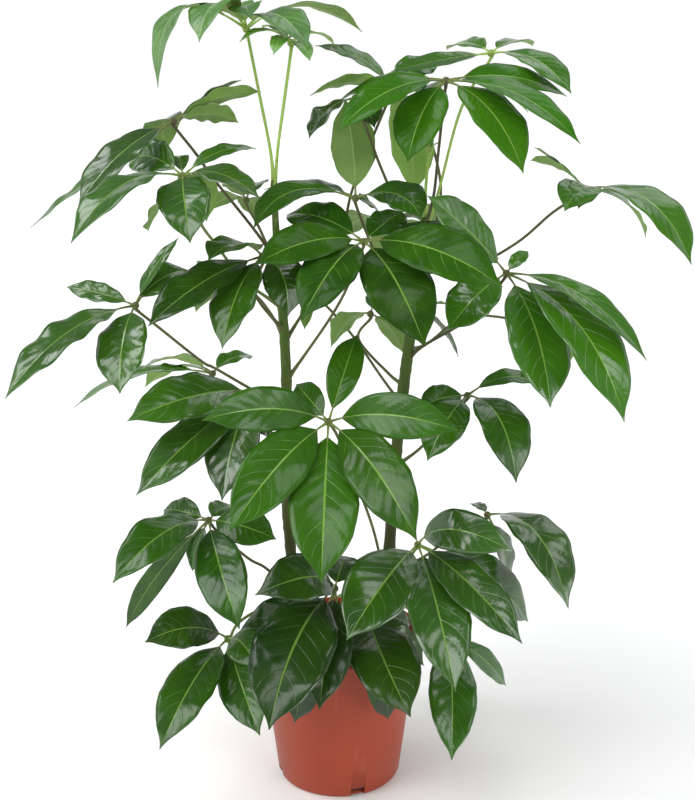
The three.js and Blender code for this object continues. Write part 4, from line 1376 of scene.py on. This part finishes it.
class Leaflet:
    """Where one leaflet's rib runs, and which way its blade faces along it."""

    def __init__(self, hub, axis, numbers, look, draw):
        across, up, reach, side, width, roll, bow = numbers[:7]
        sweep = numbers[7] if len(numbers) > 7 else 0
        brightness, clearness, waviness = look
        self.hub = hub
        self.chord = tip_of(hub, across, up, reach, side) - hub
        self.length = self.chord.length
        lengthwise = self.chord.normalized()
        rise = (axis - lengthwise * axis.dot(lengthwise)).normalized()
        aside = lengthwise.cross(rise)
        self.normal = Matrix.Rotation(math.radians(roll), 3, lengthwise) @ rise
        self.arch = (rise * bow + aside * sweep) * 4 * self.length
        self.half = width / 2
        fullness = min(1, self.half / USUAL_HALF)
        self.wave = BLADE_WAVE * waviness * draw.uniform(*WAVE_HEIGHTS) * fullness
        self.pucker = PUCKER * (LEAST_PUCKER + clearness) * fullness
        self.crinkle = CRINKLE * waviness
        self.waves = BLADE_WAVES + draw.uniform(*WAVE_ODDS)
        self.phases = [draw.uniform(0, math.tau), draw.uniform(0, math.tau)]
        self.seed = draw.uniform(0, NOISE_SPAN)
        self.breadths = [draw.uniform(*HALF_BREADTHS), draw.uniform(*HALF_BREADTHS)]
        self.twist = math.radians(draw.uniform(-BLADE_TWIST, BLADE_TWIST) * waviness)
        brightness += draw.uniform(-BRIGHTNESS_ODDS, BRIGHTNESS_ODDS)
        self.look = (brightness, clearness, draw.random(), 1)

    def rib_at(self, t):
        return self.hub + self.chord * t + self.arch * t * (1 - t)

    def frame_at(self, along):
        """The rib's place there, and the blade's up and sideways."""
        t = PETIOLULE_SHARE + (1 - PETIOLULE_SHARE) * along
        heading = (self.chord + self.arch * (1 - 2 * t)).normalized()
        upward = (self.normal - heading * self.normal.dot(heading)).normalized()
        upward = Matrix.Rotation(self.twist * (along - TWIST_START), 3, heading) @ upward
        return self.rib_at(t), upward, heading.cross(upward)

    def lift_at(self, along, share, outline):
        """How far the blade stands above its rib: folded, waved at the edge, full between veins."""
        reach = abs(share)
        half = self.half * outline
        fold = half * (BLADE_FOLD * reach - BLADE_DROOP * reach * reach)
        phase = self.phases[share > 0]
        wave = self.wave * outline * reach * reach * math.sin(math.tau * self.waves * along + phase)
        count = along * VEIN_PAIRS - reach * VEIN_LEAN - reach * reach * VEIN_CURVE
        count += VEIN_STAGGER * (share > 0)
        pucker = self.pucker * outline * math.sin(math.pi * reach) * -math.cos(math.tau * count) / 2
        place = Vector((share * half, along * self.length, self.seed)) / CRINKLE_SIZE
        crinkle = self.crinkle * noise.noise(place) * outline * reach
        return fold + wave + pucker + crinkle

    def breadth_at(self, along, share):
        """The width of a half, which isn't quite that of the other, and a little uneven."""
        place = Vector((along * MARGIN_NICKS, self.seed, NOISE_SPAN / 2 * (share > 0)))
        uneven = 1 + MARGIN_UNEVENNESS * noise.noise(place)
        return self.half * self.breadths[share > 0] * uneven


def add_leaflet(bm, leaf, look_layer):
    """A blade: a grid, given its second face by extrusion and then laid along the rib."""
    grid = bmesh.ops.create_grid(
        bm, x_segments=BLADE_ACROSS, y_segments=BLADE_ALONG, size=0.5, calc_uvs=True
    )["verts"]
    faces = list({face for vertex in grid for face in vertex.link_faces})
    under = bmesh.ops.extrude_face_region(bm, geom=faces, use_keep_orig=True)["geom"]
    frames = [leaf.frame_at(row / BLADE_ALONG) for row in range(BLADE_ALONG + 1)]
    outlines = [outline_at(row / BLADE_ALONG) for row in range(BLADE_ALONG + 1)]
    below = [item for item in under if isinstance(item, bmesh.types.BMVert)]
    for vertices, face in ((grid, 1), (below, -1)):
        for vertex in vertices:
            row = round((vertex.co.y + 0.5) * BLADE_ALONG)
            share = math.copysign(abs(vertex.co.x * 2) ** BLADE_CROWDING, vertex.co.x)
            place, upward, sideways = frames[row]
            along = row / BLADE_ALONG
            lift = leaf.lift_at(along, share, outlines[row])
            thick = BLADE_THICKNESS * (0.5 - BLADE_THINNING * share * share)
            rib = math.exp(-((share * RIB_SLENDERNESS) ** 2)) * (1 - RIB_FADING * along)
            thick += rib * (RIB_HEIGHT if face < 0 else RIB_TOP_HEIGHT)
            aside = sideways * share * leaf.breadth_at(along, share) * outlines[row]
            vertex.co = place + aside + upward * (lift + face * thick)
            vertex[look_layer] = leaf.look
    for item in under:
        if isinstance(item, bmesh.types.BMFace):
            item.material_index = UNDER_SLOT


def add_petiolule(bm, leaf, look_layer, paleness):
    """The leaflet's short stalk, which runs a little way under its blade."""
    last = PETIOLULE_SHARE + PETIOLULE_OVERLAP
    shares = [step / PETIOLULE_STEPS for step in range(PETIOLULE_STEPS + 1)]
    path = [leaf.rib_at(PETIOLULE_START + (last - PETIOLULE_START) * share) for share in shares]
    radii = [PETIOLULE_RADIUS * (PETIOLULE_FOOT - PETIOLULE_TAPER * share) for share in shares]
    dress_stalk(add_rod(bm, path, radii, ROD_SIDES), look_layer, paleness)


def petiole_radii(path):
    """A petiole flares where it leaves the stem and swells again at the hub."""
    length = sum((after - before).length for before, after in zip(path, path[1:]))
    travelled = 0
    radii = []
    for before, point in zip([path[0], *path], path):
        travelled += (point - before).length
        flare = PETIOLE_FLARE * math.exp(-travelled / PETIOLE_FLARE_LENGTH)
        to_hub = (length - travelled) / PETIOLE_SWELLING_LENGTH
        swelling = PETIOLE_SWELLING * math.exp(-(to_hub ** 2))
        radii.append(PETIOLE_RADIUS * PETIOLE_SLIMMER + flare + swelling)
    return radii


def make_frond(name, frond, skins, stalk):
    hub = seen(*frond["hub"])
    axis = Vector(frond["faces"]).normalized()
    stem_side, height = frond["stem"]
    start = stem_point_at(STEMS[stem_side], height)
    bends = [seen(*place) for place in frond["by"]]
    path = smooth_path([start, *bends, hub - axis * PETIOLE_TURN, hub], PETIOLE_SPAN_STEPS)
    bm = bmesh.new()
    bm.loops.layers.uv.new("UVMap")
    look_layer = bm.verts.layers.float_color.new("look")
    paleness = frond.get("stalk", USUAL_STALK)
    dress_stalk(add_rod(bm, path, petiole_radii(path), ROD_SIDES), look_layer, paleness)
    knob = bmesh.ops.create_icosphere(bm, subdivisions=2, radius=HUB_RADIUS)["verts"]
    bmesh.ops.translate(bm, verts=knob, vec=hub)
    knob_faces = {face for vertex in knob for face in vertex.link_faces}
    dress_stalk(knob_faces, look_layer, paleness * HUB_PALENESS)
    draw = random.Random(name)
    for numbers in frond["leaflets"]:
        leaf = Leaflet(hub, axis, numbers, frond.get("look", USUAL_LOOK), draw)
        add_leaflet(bm, leaf, look_layer)
        add_petiolule(bm, leaf, look_layer, min(1, paleness + PETIOLULE_PALER))
    kind = frond.get("kind", USUAL_KIND)
    young = kind == "young"
    underside = skins["young leaf underside" if young else "leaf underside"]
    finishes = [skins[kind + " leaf top"], underside, stalk]
    finish_piece(bm, "leafy_" + name, finishes, [name])


bpy.context.scene.view_settings.view_transform = "Standard"
add_camera()
add_room()
for lamp in LAMPS:
    add_lamp(*lamp)
add_floor()
make_pot(pot_finish())
make_soil([loose_finish(name, *numbers) for name, numbers in LOOSE_MATTER.items()])
stem_finish = bark_finish()
for side in STEMS:
    make_stem(side, stem_finish)
stalk = stalk_finish()
skins = {name: leaf_finish(name, *numbers) for name, numbers in SKINS.items()}
for name, frond in FRONDS.items():
    make_frond(name, frond, skins, stalk)
